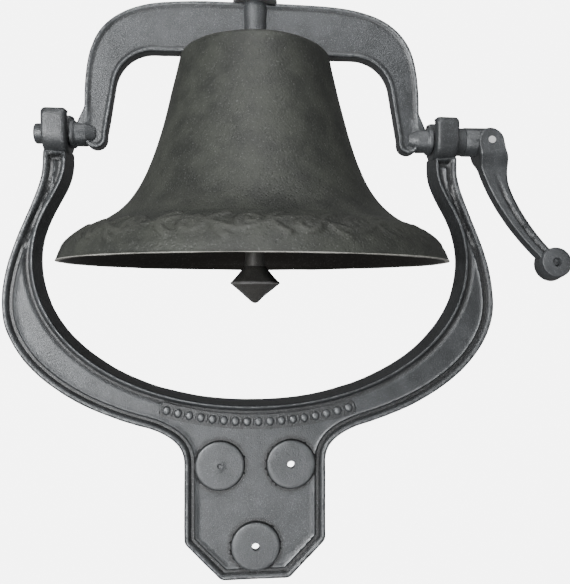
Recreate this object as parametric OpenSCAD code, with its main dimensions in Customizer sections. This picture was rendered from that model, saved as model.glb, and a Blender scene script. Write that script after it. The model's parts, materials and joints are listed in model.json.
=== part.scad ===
// Yard dinner bell: a cast bell and its clapper hang from a cast headstock,
// whose trunnions turn in two open saddles on a ring-shaped mounting bracket.
// Origin: on the plate's flat back face, midway between its two rows of bosses.
// +Z is up, -Y is the front and +X is the side with the pull lever.

/* [Bell] */
// Diameter of the bell's mouth
bell_mouth_d = 378; // [310:2:460]
// Height of the bell from its rim to the top of its crown
bell_h = 207; // [175:1:250]
// Radius of the bell's body just below the crown
bell_shoulder_r = 75; // [62:0.5:90]
// Radius that rounds the edge of the crown
bell_shoulder_round = 8; // [4:1:12]
// Wall of the bell
bell_wall = 8; // [6:0.5:10]
// Thickness of the flat crown
bell_crown_t = 9; // [7:0.5:12]
// Thickness of the metal at the very edge of the mouth
bell_rim_t = 6; // [4:0.5:8]
// How far the lip's upper edge lies inside the rim
bell_lip_in = 34; // [27:1:41]
// Height of the lip's upper edge above the rim
bell_lip_h = 33.5; // [28:0.5:41]
// How much faster the curve widens than it drops at that edge
bell_flare = 2.15; // [1.6:0.05:2.6]

/* [Headstock] */
// Width over the headstock's two arms
yoke_w = 331.6; // [300:0.2:398]
// Distance between the arms, measured at the trunnions
yoke_gap = 288.6; // [240:0.2:310]
// Height of the bar's underside above the trunnion axis
yoke_rise = 81; // [68:1:98]
// Height of the bar itself at its middle
yoke_bar_h = 51.5; // [40:0.5:62]
// Thickness of the headstock, front to back
yoke_t = 16; // [13:0.5:20]
// How far the straight foot of each arm reaches below the trunnion axis
yoke_foot_drop = 4; // [0:0.5:8]
// How far a web at each foot reaches out along the trunnion
yoke_web_out = 7; // [3:0.5:9]
// Height of that web above the trunnion axis
yoke_web_h = 24; // [18:0.5:36]
// How far each arm leans in by the time it meets the bar
yoke_lean = 13.5; // [8:0.5:18]
// Radius of the two corners under the bar
yoke_corner_r = 38; // [25:1:45]
// Squareness of the headstock's outer curve
yoke_squareness = 4.1; // [2.8:0.1:5]
// Width of the raised border on the headstock
yoke_border = 6; // [4:0.5:8]
// Depth of the panels inside that border
yoke_panel_depth = 2.5; // [1.5:0.5:4]
// Radius of the round boss down the middle of the bar
yoke_boss_r = 12.5; // [11:0.5:16]

/* [Trunnions and saddles] */
// Diameter of both trunnions
trunnion_d = 20; // [17:0.5:24]
// Radial clearance of a trunnion in its saddle
trunnion_clearance = 0.08; // [0.02:0.01:0.1]
// Radius of the shoulder that keeps the headstock centred
trunnion_shoulder_r = 14; // [13:0.5:15]
// Least length from the arm to the saddle
trunnion_neck = 13.7; // [12.5:0.1:20]
// How far the left trunnion shows beyond its saddle
trunnion_stub = 10; // [6:1:14]
// Width of each saddle along the trunnion
saddle_w = 24; // [20:1:29]
// Thickness of metal around the trunnion
saddle_wall = 12; // [9:0.5:15]
// Height of the saddle's two legs above the trunnion axis
saddle_leg_h = 21.5; // [18:0.5:26]

/* [Bracket] */
// Thickness of the bracket, front to back
bracket_t = 24.5; // [20:0.5:30]
// Gap at each side between the bell's rim and the ring
ring_side_gap = 20; // [14:1:26]
// Gap between the circle that the rim sweeps and the ring's bottom
ring_swing_gap = 35.3; // [20:0.1:45]
// Most that the necks under the saddles stand in from the ring's widest point
neck_lean_in = 29.5; // [24:0.5:36]
// Width of the ring at its widest point
ring_side_w = 33.6; // [26:0.2:42]
// Thickness of the ring where it meets the plate
ring_base_h = 38; // [28:1:48]
// Height of the ring's lower curve inside, from its bottom to its widest point
ring_curve_h = 138.5; // [115:0.5:165]
// How far the outer curve's widest point lies below the inner one's
ring_curve_drop = 42; // [30:1:50]
// Height of the ring's inner bottom above the plate's centre
ring_rise = 101.5; // [95:0.5:125]
// Width of the raised border on the bracket
bracket_border = 8; // [6:0.5:10]
// Depth of the panel inside that border
bracket_panel_depth = 3; // [2:0.5:5]

/* [Mounting plate] */
// Width of the plate
plate_w = 141; // [125:1:170]
// Distance from the plate's centre to its lower edge
plate_drop = 73.5; // [68:0.5:90]
// Width of the plate's lower edge between the cut corners
plate_foot_w = 68; // [50:1:82]
// Height of the cut corners
plate_cut_h = 37.5; // [25:0.5:42]
// Distance between the two upper bosses
boss_spacing = 70; // [54:1:80]
// Height of the upper bosses above the lower one
boss_height = 80; // [64:1:95]
// Radius of each boss
boss_r = 24.5; // [18:0.5:26]
// How far a boss stands out of the panel
boss_proud = 4; // [2:0.5:6]
// Diameter of the two pilot holes
pilot_d = 7; // [4:0.2:10]
// Metal left between each boss's face and the pocket behind it
boss_wall = 6; // [4:0.5:12]
// Radius of that pocket, which lightens the casting
boss_pocket_r = 13; // [8:0.5:16]

/* [Crown bolt] */
// Diameter of the bolt through the crown
bolt_d = 16; // [12:1:17]
// Radial clearance around the bolt
bolt_clearance = 0.3; // [0.1:0.05:0.5]
// Diameter of the flat washer on top
crown_washer_d = 44; // [36:1:52]
// Thickness of that washer
crown_washer_t = 4; // [2:0.5:5]
// Hexagon size of both nuts, across flats
nut_af = 24; // [24:1:30]
// Height of the nut
nut_h = 13; // [10:1:17]
// Height of the thinner lock nut above it
lock_nut_h = 8; // [6:1:10]
// Length of bolt that shows above the lock nut
bolt_tail = 5; // [2:1:10]
// Diameter of the washer inside the bell
inner_washer_d = 40; // [36:1:50]
// Thickness of that washer
inner_washer_t = 3; // [2:0.5:4]
// Width of the fork's slot
fork_slot = 12.6; // [10:0.2:16]
// Thickness of each side of the fork
fork_side = 6.5; // [5:0.5:8]
// Depth of the fork, front to back
fork_depth = 22; // [18:1:28]

/* [Clapper] */
// Distance from the inner washer down to the clapper's pivot
pivot_drop = 30; // [28:1:40]
// Diameter of the pivot pin
pivot_d = 10; // [8:0.5:12]
// Radial clearance of the clapper's eye on its pin
pivot_clearance = 0.06; // [0.02:0.01:0.1]
// Gap between the eye and each side of the fork
eye_gap = 0.4; // [0.3:0.1:0.8]
// Outer radius of the eye
eye_r = 11; // [9:0.5:13]
// Diameter of the clapper's rod below the eye
rod_top_d = 14; // [10:0.5:16]
// Diameter of the rod where it meets the ball
rod_low_d = 21.4; // [16:0.2:24]
// Radius of the ball at its widest edge
ball_r = 25; // [20:0.5:30]
// Height of the ball's upper cone
ball_top_h = 17; // [13:0.5:22]
// Height of the ball's lower cone
ball_low_h = 20.5; // [16:0.5:26]
// How far the ball's widest edge hangs below the rim
ball_drop = 19; // [12:1:26]
// Diameter of the rod's end inside the ball
tenon_d = 13; // [10:0.5:15]
// Length of the rod's end inside the ball
tenon_l = 18; // [12:0.5:20]

/* [Pull lever] */
// Thickness of the lever's hub around the trunnion
hub_wall = 4.75; // [4.25:0.25:8]
// How far the lever's head and its pin sit below the trunnion axis
head_drop = 2.5; // [0:0.5:2.5]
// Distance from the right saddle to the middle of the lever's head
lever_offset = 35; // [32:0.5:44]
// How far the arm reaches sideways
lever_reach = 61.5; // [48:0.5:75]
// How far the arm drops
lever_drop = 127; // [100:1:152]
// Angle by which the arm leans forward
lever_lean = 9; // [0:0.5:12]
// Thickness of the arm
lever_t = 12.5; // [10:0.5:18]
// Radius of the round shoulder on the arm's outer side
lever_shoulder_r = 13; // [10:0.5:14]
// Width of the arm at its narrow end
lever_end_w = 14; // [11:0.5:18]
// Radius of the round pad's front face
pad_r = 15.5; // [12:0.5:18.5]
// Radius of the pad at its back
pad_back_r = 17; // [13:0.5:20]
// Thickness of the pad
pad_t = 18; // [14:0.5:24]
// Diameter of the hole for the pull rope
rope_hole_d = 6; // [4:0.5:10]
// Diameter of the steel pin through the lever's head
lever_pin_d = 7.5; // [6:0.5:9]
// Thickness of each washer beside the hub
hub_washer_t = 4.3; // [2:0.1:5]
// Radius of those washers
hub_washer_r = 14; // [12.5:0.5:16]

/* [Hidden] */
$fn = 96;
eps = 0.01;
cut = 1;
curve_steps = 24;
side_gap = 0.3;
fit_gap = 0.05;
edge_round = 3;

iron = [0.23, 0.24, 0.25];
bell_iron = [0.30, 0.32, 0.28];
dark_iron = [0.15, 0.15, 0.15];
steel = [0.72, 0.73, 0.74];

// Bell, taken from its rim upwards
mouth_r = bell_mouth_d / 2;
rim_depth = bell_h - yoke_rise;
sweep_r = sqrt(mouth_r * mouth_r + rim_depth * rim_depth);

// The axis that the trunnions turn about
axis_y = -bracket_t / 2;
axis_z = ring_rise + sweep_r + ring_swing_gap;
rim_z = axis_z - rim_depth;
crown_z = axis_z + yoke_rise;
bar_top_z = crown_z + yoke_bar_h;
bore_r = bolt_d / 2 + bolt_clearance;

// Saddles
trunnion_r = trunnion_d / 2;
slot_r = trunnion_r + trunnion_clearance;
saddle_r = trunnion_r + saddle_wall;
neck_r = trunnion_r + 2;
ring_in_a = mouth_r + ring_side_gap;
saddle_in = max(yoke_w / 2 + trunnion_neck, ring_in_a - neck_lean_in);
saddle_out = saddle_in + saddle_w;
waist_z = axis_z - saddle_r - 8;
neck_top_z = axis_z - trunnion_shoulder_r - 2;

// Ring
ring_out_a = ring_in_a + ring_side_w;
ring_in_z = ring_rise + ring_curve_h;
ring_out_z = ring_in_z - ring_curve_drop;
ring_out_b = ring_out_z - ring_rise + ring_base_h;
plate_fillet = 34;
arm_x = plate_w / 2 + plate_fillet + 2;
panel_y = -bracket_t + bracket_panel_depth;
boss_y = panel_y - boss_proud;
upper_boss_z = boss_height / 2;

// Clapper
washer_z = crown_z - bell_crown_t - inner_washer_t;
pivot_z = washer_z - pivot_drop;
ball_z = rim_z - ball_drop;
eye_t = fork_slot - 2 * eye_gap;
fork_w = fork_slot + 2 * fork_side;
pin_head_t = 3;
pin_tail = 7;
cotter_r = 1.4;
cotter_x = fork_w / 2 + pin_tail / 2;

// Lever
hub_r = trunnion_r + hub_wall;
head_half_t = hub_r + 0.5;
head_x = saddle_out + lever_offset;
hub_x = saddle_out + side_gap + 2 * (hub_washer_t + fit_gap) + fit_gap;
end_chamfer = 2;
head_reach = sqrt(pow(hub_r, 2) - pow(trunnion_r + head_drop + 1, 2));
trunnion_end_x = head_x + head_reach + end_chamfer - 0.5;

function bezier(a, b, c, d, steps) =
    [for (i = [0:steps])
        let (t = i / steps, s = 1 - t)
        s * s * s * a + 3 * s * s * t * b + 3 * s * t * t * c + t * t * t * d];

function arc(centre, r, from, to, steps) =
    [for (i = [0:steps])
        let (angle = from + (to - from) * i / steps)
        centre + r * [cos(angle), sin(angle)]];

// A quarter of a superellipse, from the angle `from` to the angle `to`
function super_arc(centre, a, b, power, from, to, steps) =
    [for (i = [0:steps])
        let (angle = from + (to - from) * i / steps,
             c = max(cos(angle), 0), s = sin(angle))
        centre + [a * pow(c, 2 / power), sign(s) * b * pow(abs(s), 2 / power)]];

function mirrored(points) = [for (i = [len(points) - 1:-1:0]) [-points[i][0], points[i][1]]];
function reversed(points) = [for (i = [len(points) - 1:-1:0]) points[i]];
function tail(points) = [for (i = [1:len(points) - 1]) points[i]];
function unit(v) = v / norm(v);

// Points moved sideways off a curve, to its left, by a distance that runs from d0 to d1
function beside(points, d0, d1) =
    [for (i = [0:len(points) - 1])
        let (along = unit(points[min(i + 1, len(points) - 1)] - points[max(i - 1, 0)]),
             d = d0 + (d1 - d0) * i / (len(points) - 1))
        points[i] + d * [-along[1], along[0]]];

// Extrudes an outline drawn in X and Z, from front to back
module front_extrude(y_front, y_back) {
    translate([0, y_back, 0])
        rotate([90, 0, 0])
            linear_extrude(y_back - y_front) children();
}

// Turns a profile of [radius, distance] points about the trunnion axis
module turned_on_axis(points) {
    translate([0, axis_y, axis_z])
        rotate([90, 0, 90])
            rotate_extrude() polygon(points);
}

module rod_along_x(x0, x1, r) {
    translate([x0, 0, 0])
        rotate([0, 90, 0])
            cylinder(h = x1 - x0, r = r);
}

module rod_along_y(y0, y1, r) {
    translate([0, y1, 0])
        rotate([90, 0, 0])
            cylinder(h = y1 - y0, r = r);
}

module ring_washer(z, t, r_out, r_in) {
    translate([0, axis_y, z])
        difference() {
            cylinder(h = t, r = r_out);
            translate([0, 0, -cut]) cylinder(h = t + 2 * cut, r = r_in);
        }
}

module hex_nut(z, h) {
    translate([0, axis_y, z])
        difference() {
            cylinder(h = h, r = nut_af / sqrt(3), $fn = 6);
            translate([0, 0, -cut]) cylinder(h = h + 2 * cut, r = bolt_d / 2 + fit_gap);
        }
}

// ---- Bracket ----

// Right half of the bracket's outer edge, drawn in by d, from the neck to the foot
function bracket_outer(d) =
    let (wide = [ring_out_a - d, ring_out_z],
         waist = [saddle_out + 1 - d, waist_z],
         reach = (waist_z - ring_out_z) / 4,
         corner_angle = -acos((plate_w / 2 + plate_fillet) / ring_out_a),
         last = [wide[0] * cos(corner_angle),
                 ring_out_z + (ring_out_b - d) * sin(corner_angle)],
         side = [plate_w / 2 - d, last[1] - plate_fillet])
    concat(
        bezier(waist, waist - [0, reach], wide + [0, reach * 1.7], wide, curve_steps),
        tail(super_arc([0, ring_out_z], wide[0], ring_out_b - d, 2, 0, corner_angle, curve_steps)),
        tail(bezier(last, [plate_w / 2 - d + plate_fillet / 3, last[1] - plate_fillet / 4],
                    side + [0, plate_fillet / 2], side, curve_steps / 2)),
        [[plate_w / 2 - d, plate_cut_h - plate_drop],
         [plate_foot_w / 2 - d * 0.4, d - plate_drop]]);

// Right half of the ring's inner edge, moved into the metal by d, from the bottom to the neck
function bracket_inner(d) =
    let (wide = [ring_in_a + d, ring_in_z],
         waist = [saddle_in - 1 + d, waist_z + 2],
         reach = (waist_z - ring_in_z) / 3)
    concat(
        super_arc([0, ring_in_z], ring_in_a + d, ring_curve_h + d, 2.06, -90, 0, curve_steps * 2),
        tail(bezier(wide, wide + [0, reach * 1.5], waist - [0, reach], waist, curve_steps)));

module bracket_outline(d, top_z) {
    outer = concat([[saddle_out + 1 - d, top_z]], bracket_outer(d));
    inner = concat(bracket_inner(d), [[saddle_in - 1 + d, top_z]]);
    polygon(concat(outer, mirrored(outer), mirrored(inner), tail(inner)));
}

module boss_places() {
    for (x = [-boss_spacing / 2, boss_spacing / 2])
        translate([x, 0, upper_boss_z]) children();
    translate([0, 0, -upper_boss_z]) children();
}

module pilot_hole(x, z) {
    translate([x, 0, z])
        rod_along_y(boss_y - cut, cut, pilot_d / 2);
}

// One saddle: a block with a round underside, open at the top
module saddle_block(side) {
    face = [[saddle_in, -saddle_r - cut], [saddle_out, -saddle_r - cut]];
    corners = concat(
        arc([saddle_out - edge_round, saddle_leg_h - edge_round], edge_round, 0, 90, 8),
        arc([saddle_in + edge_round, saddle_leg_h - edge_round], edge_round, 90, 180, 8));
    scale([side, 1, 1])
        translate([0, axis_y, axis_z])
            intersection() {
                union() {
                    rod_along_x(saddle_in, saddle_out, saddle_r);
                    translate([saddle_in, -saddle_r, 0])
                        cube([saddle_w, 2 * saddle_r, saddle_leg_h]);
                }
                front_extrude(-saddle_r - cut, saddle_r + cut)
                    polygon(concat(face, corners));
            }
}

module saddle_slot(side) {
    slot_x = side > 0 ? saddle_in - cut : -saddle_out - cut;
    translate([0, axis_y, axis_z]) {
        rod_along_x(slot_x, slot_x + saddle_w + 2 * cut, slot_r);
        translate([slot_x, -slot_r, 0])
            cube([saddle_w + 2 * cut, 2 * slot_r, saddle_leg_h + cut]);
    }
}

// The casting's ring and plate, from which the plate and both arms are taken
module ring_and_plate() {
    difference() {
        union() {
            difference() {
                front_extrude(-bracket_t, 0)
                    bracket_outline(0, neck_top_z);
                front_extrude(-bracket_t - cut, panel_y)
                    bracket_outline(bracket_border, waist_z + 4);
            }
            boss_places()
                rod_along_y(boss_y, panel_y + eps, boss_r);
        }
        pilot_hole(boss_spacing / 2, upper_boss_z);
        pilot_hole(0, -upper_boss_z);
        boss_places()
            rod_along_y(boss_y + boss_wall, cut, boss_pocket_r);
    }
}

module mounting_bracket() {
    color(iron)
        intersection() {
            ring_and_plate();
            translate([-arm_x, -2 * bracket_t, -plate_drop - cut])
                cube([2 * arm_x, 3 * bracket_t, ring_in_z + plate_drop]);
        }
}

module bracket_arm(side) {
    color(iron)
        difference() {
            intersection() {
                ring_and_plate();
                translate([side > 0 ? arm_x : -arm_x - ring_out_a, -2 * bracket_t, 0])
                    cube([ring_out_a, 3 * bracket_t, axis_z]);
            }
            saddle_block(side);
        }
}

module bracket_arm_left() {
    bracket_arm(-1);
}

module bracket_arm_right() {
    bracket_arm(1);
}

module saddle(side) {
    color(iron)
        difference() {
            saddle_block(side);
            saddle_slot(side);
        }
}

module saddle_left() {
    saddle(-1);
}

module saddle_right() {
    saddle(1);
}

// ---- Headstock ----

// The arch of the headstock, drawn in by d from both of its edges
module yoke_outline(d) {
    lean = atan(yoke_lean / yoke_rise);
    r = yoke_corner_r + d;
    corner_z = yoke_rise - yoke_corner_r;
    corner_x = yoke_gap / 2 - corner_z * tan(lean) - yoke_corner_r / cos(lean);
    inner_x = yoke_gap / 2 + d / cos(lean);
    outer = concat([[yoke_w / 2 - d, -yoke_foot_drop]],
                   super_arc([0, 0], yoke_w / 2 - d, yoke_rise + yoke_bar_h - d,
                             yoke_squareness, 0, 90, curve_steps * 2));
    inner = concat([[inner_x, -yoke_foot_drop], [inner_x, 0]],
                   arc([corner_x, corner_z], r, lean, 90, 16));
    polygon(concat(outer, tail(mirrored(outer)), reversed(mirrored(inner)), reversed(inner)));
    lobe_r = (yoke_w - yoke_gap) / 4;
    for (side = [-1, 1])
        translate([side * (yoke_w + yoke_gap) / 4, -yoke_foot_drop]) circle(r = lobe_r - d);
}

// The web that stiffens the corner between an arm's foot and its trunnion
module yoke_web(side) {
    inner_x = yoke_w / 2 - yoke_border;
    outer_x = yoke_w / 2 + yoke_web_out;
    polygon([[side * inner_x, yoke_web_h], [side * (yoke_w / 2 - 1), yoke_web_h],
             [side * outer_x, neck_r - 2], [side * outer_x, -neck_r + 2],
             [side * inner_x, -neck_r + 2]]);
}

// A trunnion with its neck and shoulder
module trunnion(side, end_x) {
    root_x = (yoke_w + yoke_gap) / 4;
    profile = [[0, root_x], [yoke_t / 2, root_x], [neck_r, yoke_w / 2 - 2],
               [neck_r, saddle_in - 6], [trunnion_shoulder_r, saddle_in - 4],
               [trunnion_shoulder_r, saddle_in - side_gap], [trunnion_r, saddle_in - side_gap],
               [trunnion_r, end_x - end_chamfer], [trunnion_r - end_chamfer, end_x], [0, end_x]];
    scale([side, 1, 1]) turned_on_axis(profile);
}

module headstock() {
    half_t = yoke_t / 2;
    color(iron)
        difference() {
            union() {
                translate([0, axis_y, axis_z])
                    difference() {
                        front_extrude(-half_t, half_t) {
                            yoke_outline(0);
                            yoke_web(-1);
                            yoke_web(1);
                        }
                        front_extrude(-half_t - cut, yoke_panel_depth - half_t)
                            yoke_outline(yoke_border);
                        front_extrude(half_t - yoke_panel_depth, half_t + cut)
                            yoke_outline(yoke_border);
                    }
                translate([0, axis_y, crown_z])
                    cylinder(h = yoke_bar_h, r = yoke_boss_r);
                trunnion(-1, saddle_out + trunnion_stub);
                trunnion(1, trunnion_end_x);
            }
            translate([0, axis_y, crown_z - cut])
                cylinder(h = yoke_bar_h + 2 * cut, r = bore_r);
            at_lever_head() rod_along_y(-hub_r, hub_r, lever_pin_d / 2 + fit_gap);
        }
}

// ---- Bell ----

module bell() {
    lip = [mouth_r - bell_lip_in, bell_lip_h];
    shoulder = [bell_shoulder_r, bell_h - bell_shoulder_round];
    waist = [bell_shoulder_r + 24, bell_h * 0.44];
    slope = [bell_flare, -1];
    rim = [mouth_r, 0];
    body = concat(
        bezier(shoulder, waist, lip - 20 * slope, lip, curve_steps),
        tail(bezier(lip, lip + 9 * slope, rim + [-7.5, 17], rim, curve_steps / 2)));
    inner = [for (p = beside(body, -bell_wall, -bell_rim_t)) [p[0], max(p[1], 0)]];
    outer = concat(
        arc(shoulder - [bell_shoulder_round, 0], bell_shoulder_round, 90, 0, 8), tail(body));
    color(bell_iron)
        translate([0, axis_y, rim_z])
            rotate_extrude($fn = 180)
                polygon(concat(
                    [[bore_r, bell_h]], outer, reversed(inner),
                    [[inner[0][0] - 6, bell_h - bell_crown_t], [bore_r, bell_h - bell_crown_t]]));
}

// ---- Crown bolt ----

module crown_bolt() {
    stem_top = bar_top_z + crown_washer_t + nut_h + lock_nut_h + bolt_tail;
    fork_low = pivot_z - eye_r;
    color(steel)
        translate([0, axis_y, 0])
            difference() {
                union() {
                    translate([0, 0, washer_z - cut])
                        cylinder(h = stem_top - washer_z + cut, r = bolt_d / 2);
                    intersection() {
                        translate([-fork_w / 2, -fork_depth / 2, fork_low])
                            cube([fork_w, fork_depth, washer_z - fork_low]);
                        union() {
                            translate([0, 0, pivot_z]) rod_along_x(-fork_w, fork_w, fork_depth / 2);
                            translate([-fork_w, -fork_depth / 2, pivot_z])
                                cube([2 * fork_w, fork_depth, washer_z - pivot_z]);
                        }
                    }
                }
                translate([-fork_slot / 2, -fork_depth, fork_low - cut])
                    cube([fork_slot, 2 * fork_depth, 2 * eye_r + 4 + cut]);
                translate([0, 0, pivot_z])
                    rod_along_x(-fork_w, fork_w, pivot_d / 2 + fit_gap);
            }
}

module crown_washer() {
    color(steel)
        ring_washer(bar_top_z, crown_washer_t, crown_washer_d / 2, bore_r);
}

module crown_nut() {
    color(steel)
        hex_nut(bar_top_z + crown_washer_t, nut_h);
}

module crown_lock_nut() {
    color(steel)
        hex_nut(bar_top_z + crown_washer_t + nut_h, lock_nut_h);
}

module inner_washer() {
    color(steel)
        ring_washer(washer_z, inner_washer_t, inner_washer_d / 2, bore_r);
}

// ---- Clapper ----

module clapper_rod() {
    top_z = ball_z + ball_top_h;
    shank_h = pivot_z - top_z;
    color(dark_iron)
        translate([0, axis_y, 0])
            difference() {
                union() {
                    translate([0, 0, top_z - tenon_l])
                        cylinder(h = tenon_l, r = tenon_d / 2);
                    translate([0, 0, top_z])
                        cylinder(h = shank_h / 3, r1 = rod_low_d / 2, r2 = rod_top_d / 2);
                    translate([0, 0, top_z + shank_h / 3])
                        cylinder(h = shank_h * 2 / 3 - eye_r - 3, r = rod_top_d / 2);
                    intersection() {
                        translate([0, 0, pivot_z - eye_r - 6])
                            cylinder(h = 2 * eye_r + 6, r = eye_r);
                        union() {
                            translate([0, 0, pivot_z]) rod_along_x(-eye_t / 2, eye_t / 2, eye_r);
                            translate([-eye_t / 2, -rod_top_d / 2, pivot_z - eye_r - 6])
                                cube([eye_t, rod_top_d, eye_r + 6]);
                        }
                    }
                }
                translate([0, 0, pivot_z])
                    rod_along_x(-eye_t, eye_t, pivot_d / 2 + pivot_clearance);
            }
}

module clapper_ball() {
    edge = 2;
    top = [rod_low_d / 2, ball_top_h];
    color(dark_iron)
        translate([0, axis_y, ball_z])
            rotate_extrude()
                polygon([[0, -ball_low_h], [3, -ball_low_h + 1], [ball_r - edge, -edge],
                         [ball_r, -edge / 3], [ball_r, edge / 3], [ball_r - edge, edge],
                         top, [tenon_d / 2 + fit_gap, ball_top_h],
                         [tenon_d / 2 + fit_gap, ball_top_h - tenon_l - fit_gap],
                         [0, ball_top_h - tenon_l - fit_gap]]);
}

module clapper_pin() {
    color(steel)
        translate([0, axis_y, pivot_z])
            difference() {
                union() {
                    rod_along_x(-fork_w / 2, fork_w / 2 + pin_tail, pivot_d / 2);
                    rod_along_x(-fork_w / 2 - pin_head_t, -fork_w / 2, pivot_d / 2 + 2.5);
                }
                translate([cotter_x, 0, 0])
                    rod_along_y(-pivot_d, pivot_d, cotter_r + fit_gap);
            }
}

module clapper_cotter() {
    leg = pivot_d / 2 + 5;
    loop_r = 3;
    color(steel)
        translate([cotter_x, axis_y, pivot_z]) {
            rod_along_y(-pivot_d / 2 - 1, leg, cotter_r);
            translate([0, -pivot_d / 2 - 1 - loop_r, 0])
                rotate([0, 90, 0])
                    rotate_extrude()
                        translate([loop_r, 0]) circle(r = cotter_r, $fn = 24);
        }
}

// ---- Pull lever ----

// The frame of the lever's head: its origin is on the trunnion axis, leaning forward
module at_lever() {
    translate([head_x, axis_y, axis_z])
        rotate([-lever_lean, 0, 0]) children();
}

// The same frame, moved down to the pin in the lever's head
module at_lever_head() {
    at_lever() translate([0, 0, -head_drop]) children();
}

module pull_lever() {
    spine = bezier([0, -head_drop], [0, -lever_drop * 0.41], [lever_reach * 0.52, -lever_drop * 0.79],
                   [lever_reach, -lever_drop], curve_steps);
    hub_in = hub_x - head_x;
    color(iron)
        at_lever()
            difference() {
                union() {
                    rod_along_x(hub_in, 0, hub_r);
                    translate([0, 0, -head_drop]) rod_along_y(-head_half_t, head_half_t, hub_r);
                    front_extrude(-lever_t / 2, lever_t / 2)
                        polygon(concat(
                            beside(spine, hub_r - 0.5, lever_end_w / 2),
                            reversed(beside(spine, 0.5 - hub_r, -lever_end_w / 2))));
                    translate([lever_shoulder_r / 2, 0, -lever_drop * 0.22])
                        rod_along_y(-lever_t / 2, lever_t / 2, lever_shoulder_r);
                    translate([lever_reach, pad_t / 2, -lever_drop])
                        rotate([90, 0, 0])
                            cylinder(h = pad_t, r1 = pad_back_r, r2 = pad_r);
                }
                rod_along_x(hub_in - cut, trunnion_end_x - head_x + side_gap, trunnion_r + fit_gap);
                translate([0, 0, -head_drop])
                    rod_along_y(-head_half_t - cut, head_half_t + cut, lever_pin_d / 2 + fit_gap);
                translate([lever_reach, 0, -lever_drop])
                    rod_along_y(-pad_t, pad_t, rope_hole_d / 2);
            }
}

module lever_pin() {
    color(steel)
        at_lever_head() rod_along_y(-head_half_t - 0.3, head_half_t + 0.3, lever_pin_d / 2);
}

module hub_washer(index) {
    x0 = saddle_out + side_gap + index * (hub_washer_t + fit_gap);
    color(iron)
        translate([0, axis_y, axis_z])
            difference() {
                rod_along_x(x0, x0 + hub_washer_t, hub_washer_r);
                rod_along_x(x0 - cut, x0 + hub_washer_t + cut, trunnion_r + fit_gap);
            }
}

module hub_washer_inner() {
    hub_washer(0);
}

module hub_washer_outer() {
    hub_washer(1);
}

mounting_bracket();
bracket_arm_left();
bracket_arm_right();
saddle_left();
saddle_right();
headstock();
bell();
crown_bolt();
crown_washer();
crown_nut();
crown_lock_nut();
inner_washer();
clapper_rod();
clapper_ball();
clapper_pin();
clapper_cotter();
pull_lever();
lever_pin();
hub_washer_inner();
hub_washer_outer();
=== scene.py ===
import bpy
import bmesh
import json
import math
import numpy as np
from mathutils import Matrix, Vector, noise
from mathutils.geometry import delaunay_2d_cdt


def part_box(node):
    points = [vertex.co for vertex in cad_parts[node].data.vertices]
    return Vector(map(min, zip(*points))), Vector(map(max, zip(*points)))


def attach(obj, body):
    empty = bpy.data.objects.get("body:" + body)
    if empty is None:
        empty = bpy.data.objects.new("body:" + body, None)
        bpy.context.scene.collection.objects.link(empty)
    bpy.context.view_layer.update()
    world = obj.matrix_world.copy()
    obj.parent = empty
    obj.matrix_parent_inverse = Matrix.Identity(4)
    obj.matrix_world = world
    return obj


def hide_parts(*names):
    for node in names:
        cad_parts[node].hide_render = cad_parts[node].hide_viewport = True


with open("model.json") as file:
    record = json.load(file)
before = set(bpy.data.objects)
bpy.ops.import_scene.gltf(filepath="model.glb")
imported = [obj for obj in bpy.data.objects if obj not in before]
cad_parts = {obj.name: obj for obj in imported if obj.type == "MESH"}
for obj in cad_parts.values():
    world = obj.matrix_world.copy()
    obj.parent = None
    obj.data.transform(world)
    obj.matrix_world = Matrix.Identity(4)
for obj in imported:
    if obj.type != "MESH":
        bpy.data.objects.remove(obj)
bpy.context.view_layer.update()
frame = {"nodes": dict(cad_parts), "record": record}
mm = 0.001


def lowSide(node, axis):
    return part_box(node)[0]["XYZ".index(axis)] / mm


def highSide(node, axis):
    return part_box(node)[1]["XYZ".index(axis)] / mm


# Places that the pieces share, in millimetres, read from the frame
swingAxis = frame["record"]["behaviour"]["joints"][0]["pos_m"]
place = {
    "axisY": swingAxis[1] / mm, "axisZ": swingAxis[2] / mm,  # the trunnions' axis
    "rimZ": lowSide("bell", "Z"), "crownZ": highSide("bell", "Z"), "barTopZ": highSide("headstock", "Z"),
    "saddleIn": lowSide("saddle_right", "X"), "saddleOut": highSide("saddle_right", "X"),
    "plateLow": lowSide("mounting_bracket", "Z"),
}
place["waistZ"] = lowSide("saddle_right", "Z") - 8
place["neckTopZ"] = place["axisZ"] - 16


# Outlines are lists of points in millimetres
def bezier(a, b, c, d, steps):
    t = np.linspace(0, 1, steps + 1)[:, None]
    s = 1 - t
    a, b, c, d = (np.array(p, float) for p in (a, b, c, d))
    return s**3 * a + 3 * s * s * t * b + 3 * s * t * t * c + t**3 * d


def superArc(centre, a, b, power, start, end, steps):
    angle = np.radians(np.linspace(start, end, steps + 1))
    c, s = np.maximum(np.cos(angle), 0), np.sin(angle)
    return np.array(centre) + np.stack([a * c**(2 / power), np.sign(s) * b * np.abs(s)**(2 / power)], 1)


def arc(centre, r, start, end, steps):
    angle = np.radians(np.linspace(start, end, steps + 1))
    return np.array(centre) + r * np.stack([np.cos(angle), np.sin(angle)], 1)


def mirrored(points):
    return np.array(points)[::-1] * [-1, 1]


def resample(points, spacing, closed=True):
    p = np.array(points, float)
    if closed:
        p = np.vstack([p, p[:1]])
    keep = np.r_[True, np.linalg.norm(np.diff(p, axis=0), axis=1) > 1e-9]
    p = p[keep]
    along = np.r_[0, np.cumsum(np.linalg.norm(np.diff(p, axis=0), axis=1))]
    count = max(int(round(along[-1] / spacing)), 8)
    at = np.linspace(0, along[-1], count + 1)
    out = np.stack([np.interp(at, along, p[:, k]) for k in range(p.shape[1])], 1)
    return out[:-1] if closed else out


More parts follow.
